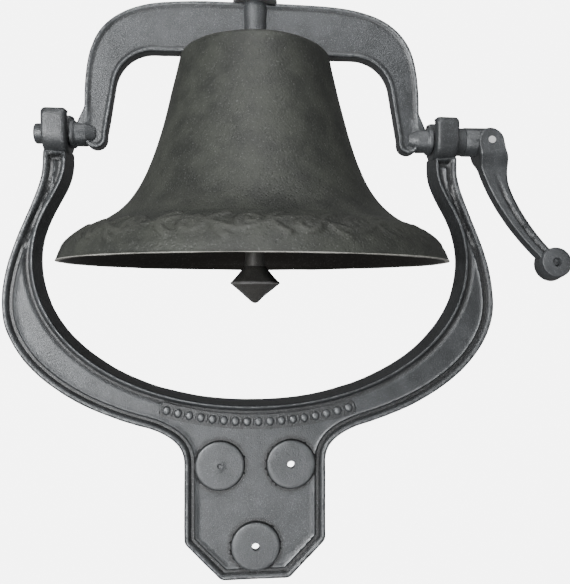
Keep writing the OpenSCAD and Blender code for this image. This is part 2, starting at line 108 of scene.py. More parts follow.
def smoothLoop(values, sigma):
    reach = int(sigma * 3) + 1
    kernel = np.exp(-0.5 * (np.arange(-reach, reach + 1) / sigma) ** 2)
    kernel /= kernel.sum()
    v = np.array(values, float)
    if v.ndim == 1:
        v = v[:, None]
    wide = np.vstack([v[-reach:], v, v[:reach]])
    out = np.stack([np.convolve(wide[:, k], kernel, "valid") for k in range(v.shape[1])], 1)
    return out[:, 0] if out.shape[1] == 1 else out


def roundedLoop(points, radius, spacing):
    fine = resample(points, 0.5)
    return resample(smoothLoop(fine, radius), spacing)


def inwardNormals(loop):
    along = np.roll(loop, -1, 0) - np.roll(loop, 1, 0)
    along /= np.linalg.norm(along, axis=1)[:, None]
    x, y = loop[:, 0], loop[:, 1]
    area = 0.5 * np.sum(x * np.roll(y, -1) - np.roll(x, -1) * y)
    side = 1 if area > 0 else -1
    return side * np.stack([-along[:, 1], along[:, 0]], 1)


def distanceTo(points, line, closed=False):
    line = np.array(line, float)
    if closed:
        line = np.vstack([line, line[:1]])
    a, b = line[:-1], line[1:]
    ab = b - a
    size = np.maximum((ab ** 2).sum(1), 1e-12)
    best = np.full(len(points), 1e9)
    for first in range(0, len(points), 2000):
        p = points[first:first + 2000]
        ap = p[:, None, :] - a[None]
        t = np.clip((ap * ab[None]).sum(2) / size, 0, 1)
        gap = ap - t[:, :, None] * ab[None]
        best[first:first + 2000] = np.sqrt((gap ** 2).sum(2).min(1))
    return best


def insideLoop(points, loop):
    x, y = points[:, 0], points[:, 1]
    inside = np.zeros(len(points), bool)
    for (x0, y0), (x1, y1) in zip(loop, np.roll(loop, -1, 0)):
        if y0 == y1:
            continue
        crosses = (y0 > y) != (y1 > y)
        inside ^= crosses & (x < (x1 - x0) * (y - y0) / (y1 - y0) + x0)
    return inside


def thinned(points, gap):
    cells, kept = set(), []
    for i, (x, y) in enumerate(points):
        cell = (round(x / gap), round(y / gap))
        if cell not in cells:
            cells.add(cell)
            kept.append(i)
    return points[kept]


# A face with no relief and the middle value: no painted highlight or shade
def plainFace(points, lead):
    return np.zeros(len(points)), np.full(len(points), 0.5)


def upright(x, y, z):
    return (x, place["axisY"] + y, z)


# Gathers points, faces and each point's painted highlight and shade (with real wear on the bell's rim) in
# millimetres, and makes one mesh of them
class Builder:
    def __init__(self):
        self.verts, self.faces, self.wear = [], [], []

    def add(self, verts, faces, wear=0.5):
        base = len(self.verts)
        self.verts += [tuple(v) for v in verts]
        self.faces += [tuple(base + i for i in f) for f in faces]
        wear = [wear] * len(verts) if np.isscalar(wear) else list(wear)
        self.wear += wear

    def mesh(self, name, weld=0.01):
        mesh = bpy.data.meshes.new(name)
        mesh.from_pydata([tuple(c * mm for c in v) for v in self.verts], [], self.faces)
        # Above 0.5 the value paints a highlight on crests; below 0.5 it paints shade in grooves, in hollows
        # and on side walls
        attribute = mesh.attributes.new("wear", "FLOAT", "POINT")
        attribute.data.foreach_set("value", np.array(self.wear, np.float32))
        work = bmesh.new()
        work.from_mesh(mesh)
        bmesh.ops.remove_doubles(work, verts=work.verts, dist=weld * mm)
        bmesh.ops.recalc_face_normals(work, faces=work.faces)
        work.to_mesh(mesh)
        work.free()
        return mesh


def rowFaces(rows, count, closed=True):
    faces = []
    for r in range(rows - 1):
        for i in range(count if closed else count - 1):
            j = (i + 1) % count
            faces.append((r * count + i, r * count + j, (r + 1) * count + j, (r + 1) * count + i))
    return faces


# Turns a closed or axis-to-axis profile of (radius, height) about Z, then maps it
def lathe(builder, profile, segments, mapPoint, wear=0.5, closedProfile=False):
    profile = np.array(profile, float)
    angle = np.linspace(0, 2 * math.pi, segments, endpoint=False)
    verts, rows, wears = [], [], []
    for k, (r, z) in enumerate(profile):
        amount = wear if np.isscalar(wear) else wear[k]
        if r < 1e-6:
            rows.append([len(verts)] * segments)
            verts.append((0, 0, z))
            wears.append(amount)
        else:
            rows.append(list(range(len(verts), len(verts) + segments)))
            verts += [(r * math.cos(a), r * math.sin(a), z) for a in angle]
            wears += [amount] * segments
    faces = []
    pairs = list(zip(rows[:-1], rows[1:]))
    if closedProfile:
        pairs.append((rows[-1], rows[0]))
    for low, high in pairs:
        for i in range(segments):
            j = (i + 1) % segments
            face = []
            for v in (low[i], low[j], high[j], high[i]):
                if v not in face:
                    face.append(v)
            if len(face) > 2:
                faces.append(face)
    builder.add([mapPoint(*v) for v in verts], faces, wears)


# A cast slab: outline (u, v), thickness along w from 0 (back) to `thick` (front), with rounded edges, draft,
# relief on either face, and round pockets in the back, through which the front's holes are drilled
def castSlab(builder, loop, thick, mapPoint, front, back, edgeFront, edgeBack, draft=0.0,
             rows=(), grid=3.0, holes=(), pockets=(), wall=6.0, spots=(), backGrid=7.0):
    count = len(loop)
    normal = inwardNormals(loop)
    edgeFront = np.broadcast_to(np.array(edgeFront, float), (count,))
    edgeBack = np.broadcast_to(np.array(edgeBack, float), (count,))
    draft = np.broadcast_to(np.array(draft, float), (count,))
    steps = 4  # to each rounded edge
    walls = []
    for k in range(steps + 1):
        a = math.radians(90 * k / steps)
        walls.append((loop + normal * (edgeBack * (1 - math.sin(a)))[:, None], edgeBack * (1 - math.cos(a))))
    for k in range(1, 5):
        t = k / 5
        low, high = edgeBack, thick - edgeFront
        walls.append((loop + normal * (draft * t)[:, None], low + (high - low) * t))
    for k in range(steps + 1):
        a = math.radians(90 * k / steps)
        inset = draft + edgeFront * (1 - math.cos(a))
        walls.append((loop + normal * inset[:, None], thick - edgeFront * (1 - math.sin(a))))
    lead = loop + normal * draft[:, None]
    frontLoops = [arc(c[:2], c[2], 0, 360, 48)[:-1] for c in holes]
    backLoops = [arc(c[:2], c[2], 0, 360, 48)[:-1] for c in pockets]

    def face(edge, relief, step, inner, isFront):
        extra = []
        holeLoops = frontLoops if isFront else backLoops
        for offset in inner:
            ring = lead + normal * offset
            far = distanceTo(ring, lead, True)
            extra.append(ring[far > offset - 0.25])
        for centre, radii in (spots if isFront else ()):
            for r in radii:
                extra.append(arc(centre, r, 0, 360, max(int(2 * math.pi * r / 1.6), 14))[:-1])
        if extra:
            extra = [thinned(np.vstack(extra), 0.9)]
        low, high = edge.min(0), edge.max(0)
        xs = np.arange(low[0], high[0], step)
        ys = np.arange(low[1], high[1], step * 0.87)
        gx, gy = np.meshgrid(xs, ys)
        gx = gx + (np.arange(len(ys)) % 2)[:, None] * step / 2
        cells = np.stack([gx.ravel(), gy.ravel()], 1)
        cells = cells[insideLoop(cells, edge)]
        clear = distanceTo(cells, edge, True) > step * 0.55
        if extra:
            near = set()
            for x, y in extra[0]:
                i, j = round(x / step * 1.6), round(y / step * 1.6)
                near.update((i + right, j + up) for right in (-1, 0, 1) for up in (-1, 0, 1))
            clear &= np.array([(round(x / step * 1.6), round(y / step * 1.6)) not in near
                               for x, y in cells], bool)
        pool = np.vstack([cells[clear]] + extra)
        keep = insideLoop(pool, edge)
        keep &= distanceTo(pool, edge, True) > 0.45
        for hole in holeLoops:
            centre = hole.mean(0)
            keep &= np.linalg.norm(pool - centre, axis=1) > np.linalg.norm(hole[0] - centre) + 0.5
        pool = pool[keep]
        points = np.vstack([edge] + holeLoops + [pool])
        edges, base = [], 0
        for ring in [edge] + holeLoops:
            n = len(ring)
            edges += [(base + i, base + (i + 1) % n) for i in range(n)]
            base += n
        got = delaunay_2d_cdt([Vector(p) for p in points], edges, [], 0, 1e-5)
        found = np.array([tuple(v) for v in got[0]], float)
        tris = np.array(got[2], int)
        centre = found[tris].mean(1)
        good = insideLoop(centre, edge)
        for hole in holeLoops:
            good &= ~insideLoop(centre, hole)
        return found, tris[good], relief(found, lead)

    backRelief = back or plainFace
    points, tris, (height, wear) = face(walls[-1][0], front, grid, rows, True)
    backPoints, backTris, (depth, backPaintedLightAndWear) = face(walls[0][0], backRelief, backGrid, rows if back else (),
                                                   False)
    wallPoints = [mapPoint(u, v, h) for line, heights in walls for (u, v), h in zip(line, heights)]
    # The side walls get painted shade, a little less on the last rows of the front's rounded edge
    paintedWallShade = np.repeat([0.32] * (len(walls) - 3) + [0.45] * 3, count)
    builder.add(wallPoints, rowFaces(len(walls), count), paintedWallShade)
    builder.add([mapPoint(u, v, thick + h) for (u, v), h in zip(points, height)], tris.tolist(), wear)
    builder.add([mapPoint(u, v, -h) for (u, v), h in zip(backPoints, depth)], backTris.tolist(), backPaintedLightAndWear)
    for pocket in pockets:
        centre, r = np.array(pocket[:2]), pocket[2]
        floor = thick + front(centre[None], lead)[0][0] - wall
        drilled = [h for h in holes if abs(h[0] - centre[0]) + abs(h[1] - centre[1]) < 1]
        rounds = [(r, 0.0), (r, floor - 2.5), (r - 0.7, floor - 0.8), (r - 2.5, floor)]
        if drilled:
            rounds += [(drilled[0][2], floor), (drilled[0][2], floor + wall)]
        else:
            rounds += [(0.01, floor)]
        verts = [mapPoint(*(centre + rr * np.array([math.cos(a), math.sin(a)])), w)
                 for rr, w in rounds for a in np.linspace(0, 2 * math.pi, 48, endpoint=False)]
        # The pockets' walls get painted shade
        builder.add(verts, rowFaces(len(rounds), 48), 0.3)


# Small inward lumps and dips of a sand casting
def roughen(mesh, size, amount, fineSize=0, fineAmount=0, seed=0):
    mesh.update()
    shift = Vector((seed * 7.3, seed * 3.1, seed * 5.7))
    moved = np.zeros(len(mesh.vertices) * 3)
    for i, v in enumerate(mesh.vertices):
        p = v.co * 1000
        d = amount * (noise.noise(p / size + shift) - 0.4)
        if fineAmount:
            d += fineAmount * (noise.noise(p / fineSize + shift) - 0.3)
        moved[3 * i:3 * i + 3] = v.co + v.normal * d * mm
    mesh.vertices.foreach_set("co", moved)
    mesh.update()


def addPiece(name, mesh, material, body, replaces=(), sharp=40):
    piece = bpy.data.objects.new(name, mesh)
    bpy.context.scene.collection.objects.link(piece)
    mesh.materials.clear()
    mesh.materials.append(material)
    mesh.shade_smooth()
    mesh.set_sharp_from_angle(angle=math.radians(sharp))
    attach(piece, body)
    if replaces:
        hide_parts(*replaces)
    tris = sum(len(p.vertices) - 2 for p in mesh.polygons)
    print(f"{name}: {tris} triangles")
    return piece


# Adds nodes to one tree, and links or sets their inputs
class Nodes:
    def __init__(self, tree):
        self.tree = tree

    def add(self, kind, inputs=None, **settings):
        node = self.tree.nodes.new(kind)
        for key, value in settings.items():
            setattr(node, key, value)
        for key, value in (inputs or {}).items():
            socket = node.inputs[key]
            if isinstance(value, bpy.types.NodeSocket):
                self.tree.links.new(value, socket)
            else:
                socket.default_value = value
        return node

    def maths(self, operation, a, b=None, c=None, clamp=False):
        inputs = {0: a}
        if b is not None:
            inputs[1] = b
        if c is not None:
            inputs[2] = c
        return self.add("ShaderNodeMath", inputs, operation=operation, use_clamp=clamp).outputs[0]

    def ramp(self, value, low, high, toLow=0.0, toHigh=1.0):
        return self.add("ShaderNodeMapRange", {"Value": value, "From Min": low, "From Max": high,
                                               "To Min": toLow, "To Max": toHigh},
                        interpolation_type="SMOOTHSTEP").outputs["Result"]

    def noise(self, where, scale, detail, roughness):
        return self.add("ShaderNodeTexNoise", {"Vector": where, "Scale": scale, "Detail": detail,
                                               "Roughness": roughness}).outputs["Fac"]

    def mix(self, factor, a, b):
        node = self.add("ShaderNodeMix", data_type="RGBA")
        for socket, value in zip((node.inputs["Factor"], node.inputs[6], node.inputs[7]), (factor, a, b)):
            if isinstance(value, bpy.types.NodeSocket):
                self.tree.links.new(value, socket)
            else:
                socket.default_value = value
        return node.outputs[2]


def grey(value, tint=(1, 1, 1)):
    return (value * tint[0], value * tint[1], value * tint[2], 1)


# Grain of sand-cast iron: a height for the bump, a speckle mask for painted glints and a slow tone
def castGrainGroup():
    group = bpy.data.node_groups.new("castGrain", "ShaderNodeTree")
    for name, value in (("Grain Size", 1.2), ("Pits", 0.5), ("Speckle", 0.5)):
        group.interface.new_socket(name, in_out="INPUT", socket_type="NodeSocketFloat").default_value = value
    for name in ("Height", "Speckle Mask", "Tone"):
        group.interface.new_socket(name, in_out="OUTPUT", socket_type="NodeSocketFloat")
    n = Nodes(group)
    given = n.add("NodeGroupInput")
    where = n.add("ShaderNodeTexCoord").outputs["Object"]
    scale = n.maths("DIVIDE", 1000.0, given.outputs["Grain Size"])
    fine = n.noise(where, scale, 3.0, 0.6)
    cells = n.add("ShaderNodeTexVoronoi", {"Vector": where, "Scale": n.maths("MULTIPLY", scale, 0.55)})
    wide = n.noise(where, 38.0, 4.0, 0.55)
    pit = n.ramp(cells.outputs["Distance"], 0.0, 0.35, 1.0, 0.0)
    height = n.maths("SUBTRACT", fine, n.maths("MULTIPLY", pit, given.outputs["Pits"]))
    dots = n.noise(where, n.maths("MULTIPLY", scale, 1.7), 1.0, 0.5)
    lowEdge = n.maths("MULTIPLY_ADD", given.outputs["Speckle"], -0.16, 0.68)
    speckle = n.ramp(dots, lowEdge, n.maths("ADD", lowEdge, 0.09))
    out = n.add("NodeGroupOutput")
    group.links.new(height, out.inputs["Height"])
    group.links.new(speckle, out.inputs["Speckle Mask"])
    group.links.new(wide, out.inputs["Tone"])
    return group


# Dust and grime that gather on faces looking up, broken by noise
def dustGroup():
    group = bpy.data.node_groups.new("settledDust", "ShaderNodeTree")
    group.interface.new_socket("Amount", in_out="INPUT", socket_type="NodeSocketFloat").default_value = 0.3
    group.interface.new_socket("Mask", in_out="OUTPUT", socket_type="NodeSocketFloat")
    n = Nodes(group)
    given = n.add("NodeGroupInput")
    up = n.add("ShaderNodeSeparateXYZ", {0: n.add("ShaderNodeNewGeometry").outputs["Normal"]}).outputs["Z"]
    where = n.add("ShaderNodeTexCoord").outputs["Object"]
    broken = n.noise(where, 70.0, 5.0, 0.6)
    mask = n.maths("MULTIPLY", n.ramp(up, -0.1, 0.9), n.ramp(broken, 0.35, 0.7))
    out = n.add("NodeGroupOutput")
    group.links.new(n.maths("MULTIPLY", mask, given.outputs["Amount"], clamp=True), out.inputs["Mask"])
    return group


castGrain = castGrainGroup()
settledDust = dustGroup()


def startMaterial(name):
    material = bpy.data.materials.new(name)
    material.use_nodes = True
    material.node_tree.nodes.clear()
    n = Nodes(material.node_tree)
    shader = n.add("ShaderNodeBsdfPrincipled")
    out = n.add("ShaderNodeOutputMaterial")
    material.node_tree.links.new(shader.outputs[0], out.inputs["Surface"])
    return material, n, shader


def connect(n, shader, **links):
    for key, value in links.items():
        n.tree.links.new(value, shader.inputs[key.replace("_", " ")])


def ironMaterial(name, look):
    material, n, shader = startMaterial(name)
    grain = n.add("ShaderNodeGroup", node_tree=castGrain)
    grain.inputs["Grain Size"].default_value = look["grain"]
    grain.inputs["Pits"].default_value = look["pits"]
    grain.inputs["Speckle"].default_value = look["speckle"]
    dust = n.add("ShaderNodeGroup", node_tree=settledDust)
    dust.inputs["Amount"].default_value = look["dust"]
    wear = n.add("ShaderNodeAttribute", attribute_name="wear").outputs["Fac"]
    # crest is a painted highlight on raised parts, broken up by the grain (on the bell's rim also rubbed bare
    # metal); groove is painted shade in grooves, hollows and inside the bell
    crestBreakup = n.ramp(grain.outputs["Height"], 0.2, 0.6, 0.55, 1.0)
    crest = n.maths("MULTIPLY", n.ramp(wear, 0.5, 1.0), crestBreakup)
    groove = n.ramp(wear, 0.5, 0.0)
    tone = n.mix(n.ramp(grain.outputs["Tone"], 0.3, 0.7), look["dark"], look["light"])
    tone = n.mix(n.maths("MULTIPLY", crest, look["crestMix"]), tone, look["crest"])
    tone = n.mix(n.maths("MULTIPLY", groove, look["grooveMix"]), tone, look["groove"])
    # The bright flecks on the speckle mask are painted glints
    tone = n.mix(n.maths("MULTIPLY", grain.outputs["Speckle Mask"], look["speckleMix"]), tone, look["glint"])
    tone = n.mix(dust.outputs["Mask"], tone, look["dustColour"])
    rough = n.maths("MULTIPLY_ADD", grain.outputs["Tone"], 0.2, look["roughness"] - 0.1)
    rough = n.maths("SUBTRACT", rough, n.maths("MULTIPLY", crest, 0.08), clamp=True)
    bump = n.add("ShaderNodeBump", {"Strength": look["bump"], "Distance": look["bumpDepth"] * mm,
                                    "Height": grain.outputs["Height"]})
    shader.inputs["Metallic"].default_value = look["metallic"]
    shader.inputs["Specular IOR Level"].default_value = look["specular"]
    connect(n, shader, Base_Color=tone, Roughness=rough, Normal=bump.outputs[0])
    return material


# Sizes in millimetres; dark and light are the metal's two tones, crest a painted highlight on raised parts
# (on the bell's rim also rubbed bare metal), groove painted shade in sunken parts and inside the bell
paintedLook = {
    "grain": 1.3, "pits": 0.3, "bump": 0.65, "bumpDepth": 0.5,
    "roughness": 0.36, "metallic": 0.4, "specular": 0.6,
    "dark": grey(0.036, (0.93, 1, 1.06)), "light": grey(0.056, (0.94, 1, 1.06)),
    "crest": grey(0.2, (0.95, 1, 1.03)), "crestMix": 0.6, "groove": grey(0.009), "grooveMix": 0.8,
    "glint": grey(0.3, (0.95, 1, 1.05)), "speckle": 0.45, "speckleMix": 0.3,
    "dustColour": grey(0.2), "dust": 0.0,
}
bellLook = {
    "grain": 2.4, "pits": 0.5, "bump": 0.7, "bumpDepth": 0.7,
    "roughness": 0.5, "metallic": 0.15, "specular": 0.4,
    "dark": grey(0.019, (0.95, 1.03, 0.9)), "light": grey(0.034, (0.95, 1.03, 0.86)),
    "crest": grey(0.42, (1, 0.98, 0.9)), "crestMix": 0.85,
    "groove": (0.006, 0.0045, 0.003, 1), "grooveMix": 0.97,
    "glint": grey(0.2), "speckle": 0.25, "speckleMix": 0.2,
    "dustColour": grey(0.05, (1, 0.98, 0.85)), "dust": 0.1,
}
clapperLook = dict(
    paintedLook, dark=grey(0.05, (1, 0.98, 0.92)), light=grey(0.075, (1, 0.98, 0.92)), crest=grey(0.4),
    crestMix=0.7, grooveMix=0.5, glint=grey(0.2))
steelLook = {
    "grain": 0.8, "pits": 0.2, "bump": 0.3, "bumpDepth": 0.2,
    "roughness": 0.4, "metallic": 0.5, "specular": 0.5,
    "dark": grey(0.16), "light": grey(0.24), "crest": grey(0.5), "crestMix": 0.4,
    "groove": grey(0.1), "grooveMix": 0.3, "glint": grey(0.4), "speckle": 0.3, "speckleMix": 0.2,
    "dustColour": grey(0.25), "dust": 0.1,
}
brightLook = dict(
    steelLook, metallic=0.6, dark=grey(0.62), light=grey(0.75), crest=grey(0.85), roughness=0.28)
paintedIron = ironMaterial("paintedIron", paintedLook)
bellIron = ironMaterial("bellIron", bellLook)
clapperIron = ironMaterial("clapperIron", clapperLook)
zincSteel = ironMaterial("zincSteel", steelLook)
print("materials made")


# Starts a Geometry Nodes tree with named inputs
def shapeTree(name, inputs):
    tree = bpy.data.node_groups.new(name, "GeometryNodeTree")
    tree.interface.new_socket("Geometry", in_out="INPUT", socket_type="NodeSocketGeometry")
    for label, kind in inputs:
        tree.interface.new_socket(label, in_out="INPUT", socket_type="NodeSocket" + kind)
    tree.interface.new_socket("Geometry", in_out="OUTPUT", socket_type="NodeSocketGeometry")
    n = Nodes(tree)
    return tree, n, n.add("NodeGroupInput")


def finishTree(n, given, geometry):
    realized = n.add("GeometryNodeRealizeInstances", {0: geometry}).outputs[0]
    final = n.add("GeometryNodeSetMaterial", {"Geometry": realized, "Material": given.outputs["Material"]})
    n.tree.links.new(final.outputs[0], n.add("NodeGroupOutput").inputs[0])


def moveBy(n, given, direction, amount):
    offset = n.add("ShaderNodeVectorMath", {0: direction, "Scale": amount}, operation="SCALE").outputs[0]
    return n.add("GeometryNodeSetPosition",
                 {"Geometry": given.outputs["Geometry"], "Offset": offset}).outputs[0]


# Runs a tree on a mesh and returns the result as a plain mesh
def shaped(mesh, tree, values):
    holder = bpy.data.objects.new("holder", mesh)
    bpy.context.scene.collection.objects.link(holder)
    modifier = holder.modifiers.new("shape", "NODES")
    modifier.node_group = tree
    for item in tree.interface.items_tree:
        if item.in_out == "INPUT" and item.name in values:
            modifier[item.identifier] = values[item.name]
    graph = bpy.context.evaluated_depsgraph_get()
    made = bpy.data.meshes.new_from_object(holder.evaluated_get(graph), preserve_all_data_layers=True,
                                           depsgraph=graph)
    holder.modifiers.remove(modifier)
    bpy.data.objects.remove(holder)
    return made


def linesMesh(name, lines):
    verts, edges = [], []
    for line in lines:
        base = len(verts)
        verts += [tuple(c * mm for c in p) for p in line]
        edges += [(base + i, base + i + 1) for i in range(len(line) - 1)]
    mesh = bpy.data.meshes.new(name)
    mesh.from_pydata(verts, edges, [])
    return mesh


# Raises strokes of a motif, repeated round the vertical axis, out of a turned surface
def scrollBandTree():
    tree, n, given = shapeTree("scrollBand", (
        ("Motif", "Object"), ("Repeats", "Int"), ("Rise", "Float"), ("Stroke Width", "Float"),
        ("Unevenness", "Float"), ("Seed", "Int"), ("Material", "Material")))
    motif = n.add("GeometryNodeObjectInfo", {"Object": given.outputs["Motif"]}).outputs["Geometry"]
    centre = (0, place["axisY"] * mm, place["rimZ"] * mm)
    points = n.add("GeometryNodePoints", {"Count": given.outputs["Repeats"], "Position": centre}).outputs[0]
    index = n.add("GeometryNodeInputIndex").outputs[0]
    jitter = n.add("FunctionNodeRandomValue", {"Min": -0.03, "Max": 0.03, "Seed": given.outputs["Seed"]},
                   data_type="FLOAT")
    turn = n.maths("DIVIDE", n.maths("MULTIPLY", index, 2 * math.pi), given.outputs["Repeats"])
    turn = n.maths("ADD", turn, [o for o in jitter.outputs if o.enabled][0])
    spin = n.add("ShaderNodeCombineXYZ", {"Z": turn}).outputs[0]
    copies = n.add("GeometryNodeInstanceOnPoints", {"Points": points, "Instance": motif, "Rotation": spin})
    strokes = n.add("GeometryNodeRealizeInstances", {0: copies.outputs[0]}).outputs[0]
    near = n.add("GeometryNodeProximity", {0: strokes}, target_element="EDGES").outputs["Distance"]
    fresh = n.ramp(near, 0.0012, given.outputs["Stroke Width"], 1.0, 0.0)
    patchy = n.add("ShaderNodeTexNoise", {"Scale": 14.0, "Detail": 2.0}).outputs[0]
    worn = n.maths("MULTIPLY", n.ramp(patchy, 0.62, 0.36), given.outputs["Unevenness"])
    amount = n.maths("MULTIPLY", fresh, n.maths("SUBTRACT", 1.0, worn))
    normal = n.add("GeometryNodeInputNormal").outputs[0]
    moved = moveBy(n, given, normal, n.maths("MULTIPLY", amount, given.outputs["Rise"]))
    wear = n.add("GeometryNodeInputNamedAttribute", {"Name": "wear"}, data_type="FLOAT").outputs[0]
    # Painted shadow along the edges of the raised strokes and a slight painted highlight on their tops, added
    # to the value read from the mesh
    edge = n.maths("MULTIPLY", n.ramp(fresh, 0.0, 0.12), n.ramp(fresh, 0.5, 0.12))
    edge = n.maths("MULTIPLY", edge, 0.28)
    strokeHighlightAndShadow = n.maths("SUBTRACT", n.maths("MULTIPLY_ADD", amount, 0.06, wear), edge)
    stored = n.add("GeometryNodeStoreNamedAttribute", {"Geometry": moved, "Name": "wear", "Value": strokeHighlightAndShadow},
                   data_type="FLOAT", domain="POINT").outputs[0]
    finishTree(n, given, stored)
    return tree


# Beads and slim bars in turn along an arc, on a low ribbon
def beadRowTree():
    tree, n, given = shapeTree("beadRow", (
        ("Radius", "Float"), ("Half Angle", "Float"), ("Beads", "Int"), ("Bead Size", "Vector"),
        ("Bar Size", "Vector"), ("Ribbon Width", "Float"), ("Ribbon Rise", "Float"),
        ("Material", "Material")))
    start = n.maths("SUBTRACT", -math.pi / 2, given.outputs["Half Angle"])
    sweep = n.maths("MULTIPLY", given.outputs["Half Angle"], 2.0)
    line = n.add("GeometryNodeCurveArc", {
        "Resolution": 80, "Radius": given.outputs["Radius"], "Start Angle": start, "Sweep Angle": sweep},
        mode="RADIUS").outputs[0]
    slots = n.maths("ADD", n.maths("MULTIPLY", given.outputs["Beads"], 2.0), 1.0)
    spots = n.add("GeometryNodeCurveToPoints", {"Curve": line, "Count": slots}, mode="COUNT")
    index = n.add("GeometryNodeInputIndex").outputs[0]
    odd = n.maths("MODULO", index, 2.0)
    ball = n.add("GeometryNodeMeshUVSphere", {"Segments": 24, "Rings": 14, "Radius": 0.001}).outputs["Mesh"]
    bar = n.add("GeometryNodeMeshUVSphere", {"Segments": 14, "Rings": 12, "Radius": 0.001}).outputs["Mesh"]
    even = n.maths("SUBTRACT", 1.0, odd)
    parts = []
    for shape, size, select in ((ball, "Bead Size", odd), (bar, "Bar Size", even)):
        copies = n.add("GeometryNodeInstanceOnPoints", {
            "Points": spots.outputs["Points"], "Selection": select, "Instance": shape,
            "Rotation": spots.outputs["Rotation"], "Scale": given.outputs[size]}).outputs[0]
        parts.append(copies)
    side = n.add("GeometryNodeCurvePrimitiveQuadrilateral", {
        "Width": given.outputs["Ribbon Width"], "Height": given.outputs["Ribbon Rise"]}).outputs[0]
    parts.append(n.add("GeometryNodeCurveToMesh",
                       {"Curve": line, "Profile Curve": side, "Fill Caps": True}).outputs[0])
    join = n.add("GeometryNodeJoinGeometry")
    for part in parts:
        n.tree.links.new(part, join.inputs[0])
    finishTree(n, given, join.outputs[0])
    return tree


# Cuts a screw thread into the upright side of a rod between two heights
def rolledThreadTree():
    tree, n, given = shapeTree("rolledThread", (
        ("Pitch", "Float"), ("Depth", "Float"), ("Low End", "Float"), ("High End", "Float"),
        ("Material", "Material")))
    where = n.add("GeometryNodeInputPosition").outputs[0]
    centred = n.add("ShaderNodeVectorMath", {0: where, 1: (0, place["axisY"] * mm, 0)},
                    operation="SUBTRACT").outputs[0]
    part = n.add("ShaderNodeSeparateXYZ", {0: centred})
    turn = n.maths("DIVIDE", n.maths("ARCTAN2", part.outputs["Y"], part.outputs["X"]), 2 * math.pi)
    phase = n.maths("SUBTRACT", n.maths("DIVIDE", part.outputs["Z"], given.outputs["Pitch"]), turn)
    wave = n.maths("MULTIPLY", n.maths("PINGPONG", phase, 0.5), 2.0)
    inside = n.maths("MULTIPLY", n.maths("GREATER_THAN", part.outputs["Z"], given.outputs["Low End"]),
                     n.maths("LESS_THAN", part.outputs["Z"], given.outputs["High End"]))
    amount = n.maths("MULTIPLY", n.ramp(wave, 0.1, 0.9), given.outputs["Depth"])
    amount = n.maths("MULTIPLY", amount, inside)
    flat = n.add("ShaderNodeVectorMath", {0: centred, 1: (1, 1, 0)}, operation="MULTIPLY").outputs[0]
    away = n.add("ShaderNodeVectorMath", {0: flat}, operation="NORMALIZE").outputs[0]
    finishTree(n, given, moveBy(n, given, away, n.maths("MULTIPLY", amount, -1.0)))
    return tree


# The bracket, seen from the front. Each "At" and its partner give the relief, or the painted highlight and
# shade, of a border, by the distance from its edge
bracketShape = {
    "thick": 24.5, "ringInA": 209, "ringInZ": 240, "ringCurve": 138.5, "ringOutA": 242.6, "ringOutZ": 198,
    "ringOutB": 134.5, "plateW": 141, "plateDrop": 73.5, "plateFoot": 68, "plateCut": 37.5, "fillet": 34,
    "corner": 5.0, "spacing": 2.2, "grid": 2.6, "outerEdge": 2.6, "innerEdge": 1.6, "backEdge": 1.2,
    "outerDraft": 0.8, "innerDraft": 3.0, "web": 2.2,
    "outerAt": (0, 3.6, 4.8, 5.8, 7.2, 9.6, 10.6, 11.4, 12.2, 13.6),
    "outerRise": (2.2, 2.2, 1.6, 0.4, -1.1, -1.1, 0.1, 0.9, 0.6, 0),
    "innerAt": (0, 1.8, 2.8, 4.0, 5.4, 8.0, 9.6, 11.2),
    "innerRise": (2.2, 2.2, 1.6, -0.2, -1.6, -1.6, -0.5, 0),
    "outerPaintedLightAt": (0, 1.2, 2.5, 3.8, 5.0, 7.2, 9.6, 11.0, 12.2, 13.6),
    "outerPaintedLight": (-0.2, 0.1, 0.5, 0.15, -0.2, -0.44, -0.4, 0.1, 0.3, 0),
    "innerPaintedLightAt": (0, 1.0, 2.0, 3.2, 4.4, 6.5, 8.4, 10.6),
    "innerPaintedLight": (-0.1, 0.4, 0.5, 0.1, -0.3, -0.45, -0.3, 0),
    "rows": (1.2, 2.5, 3.8, 4.8, 5.8, 7.2, 8.4, 9.6, 10.6, 11.4, 12.2, 13.6),
    "stepZ": (7, 14), "stepDrop": 0.5,  # the plate is a little lower than the ring
    "bosses": ((-35, 40), (35, 40), (0, -40)), "bossRise": 3.2, "bossAt": (0, 21.5, 23.2, 24.2, 24.9),
    "holeR": 3.5, "pocketR": 13.0,
    "markAt": (0, 1.8, 2.6, 3.8, 4.6), "markDepth": (0.9, 0.6, -0.25, -0.3, 0),
}


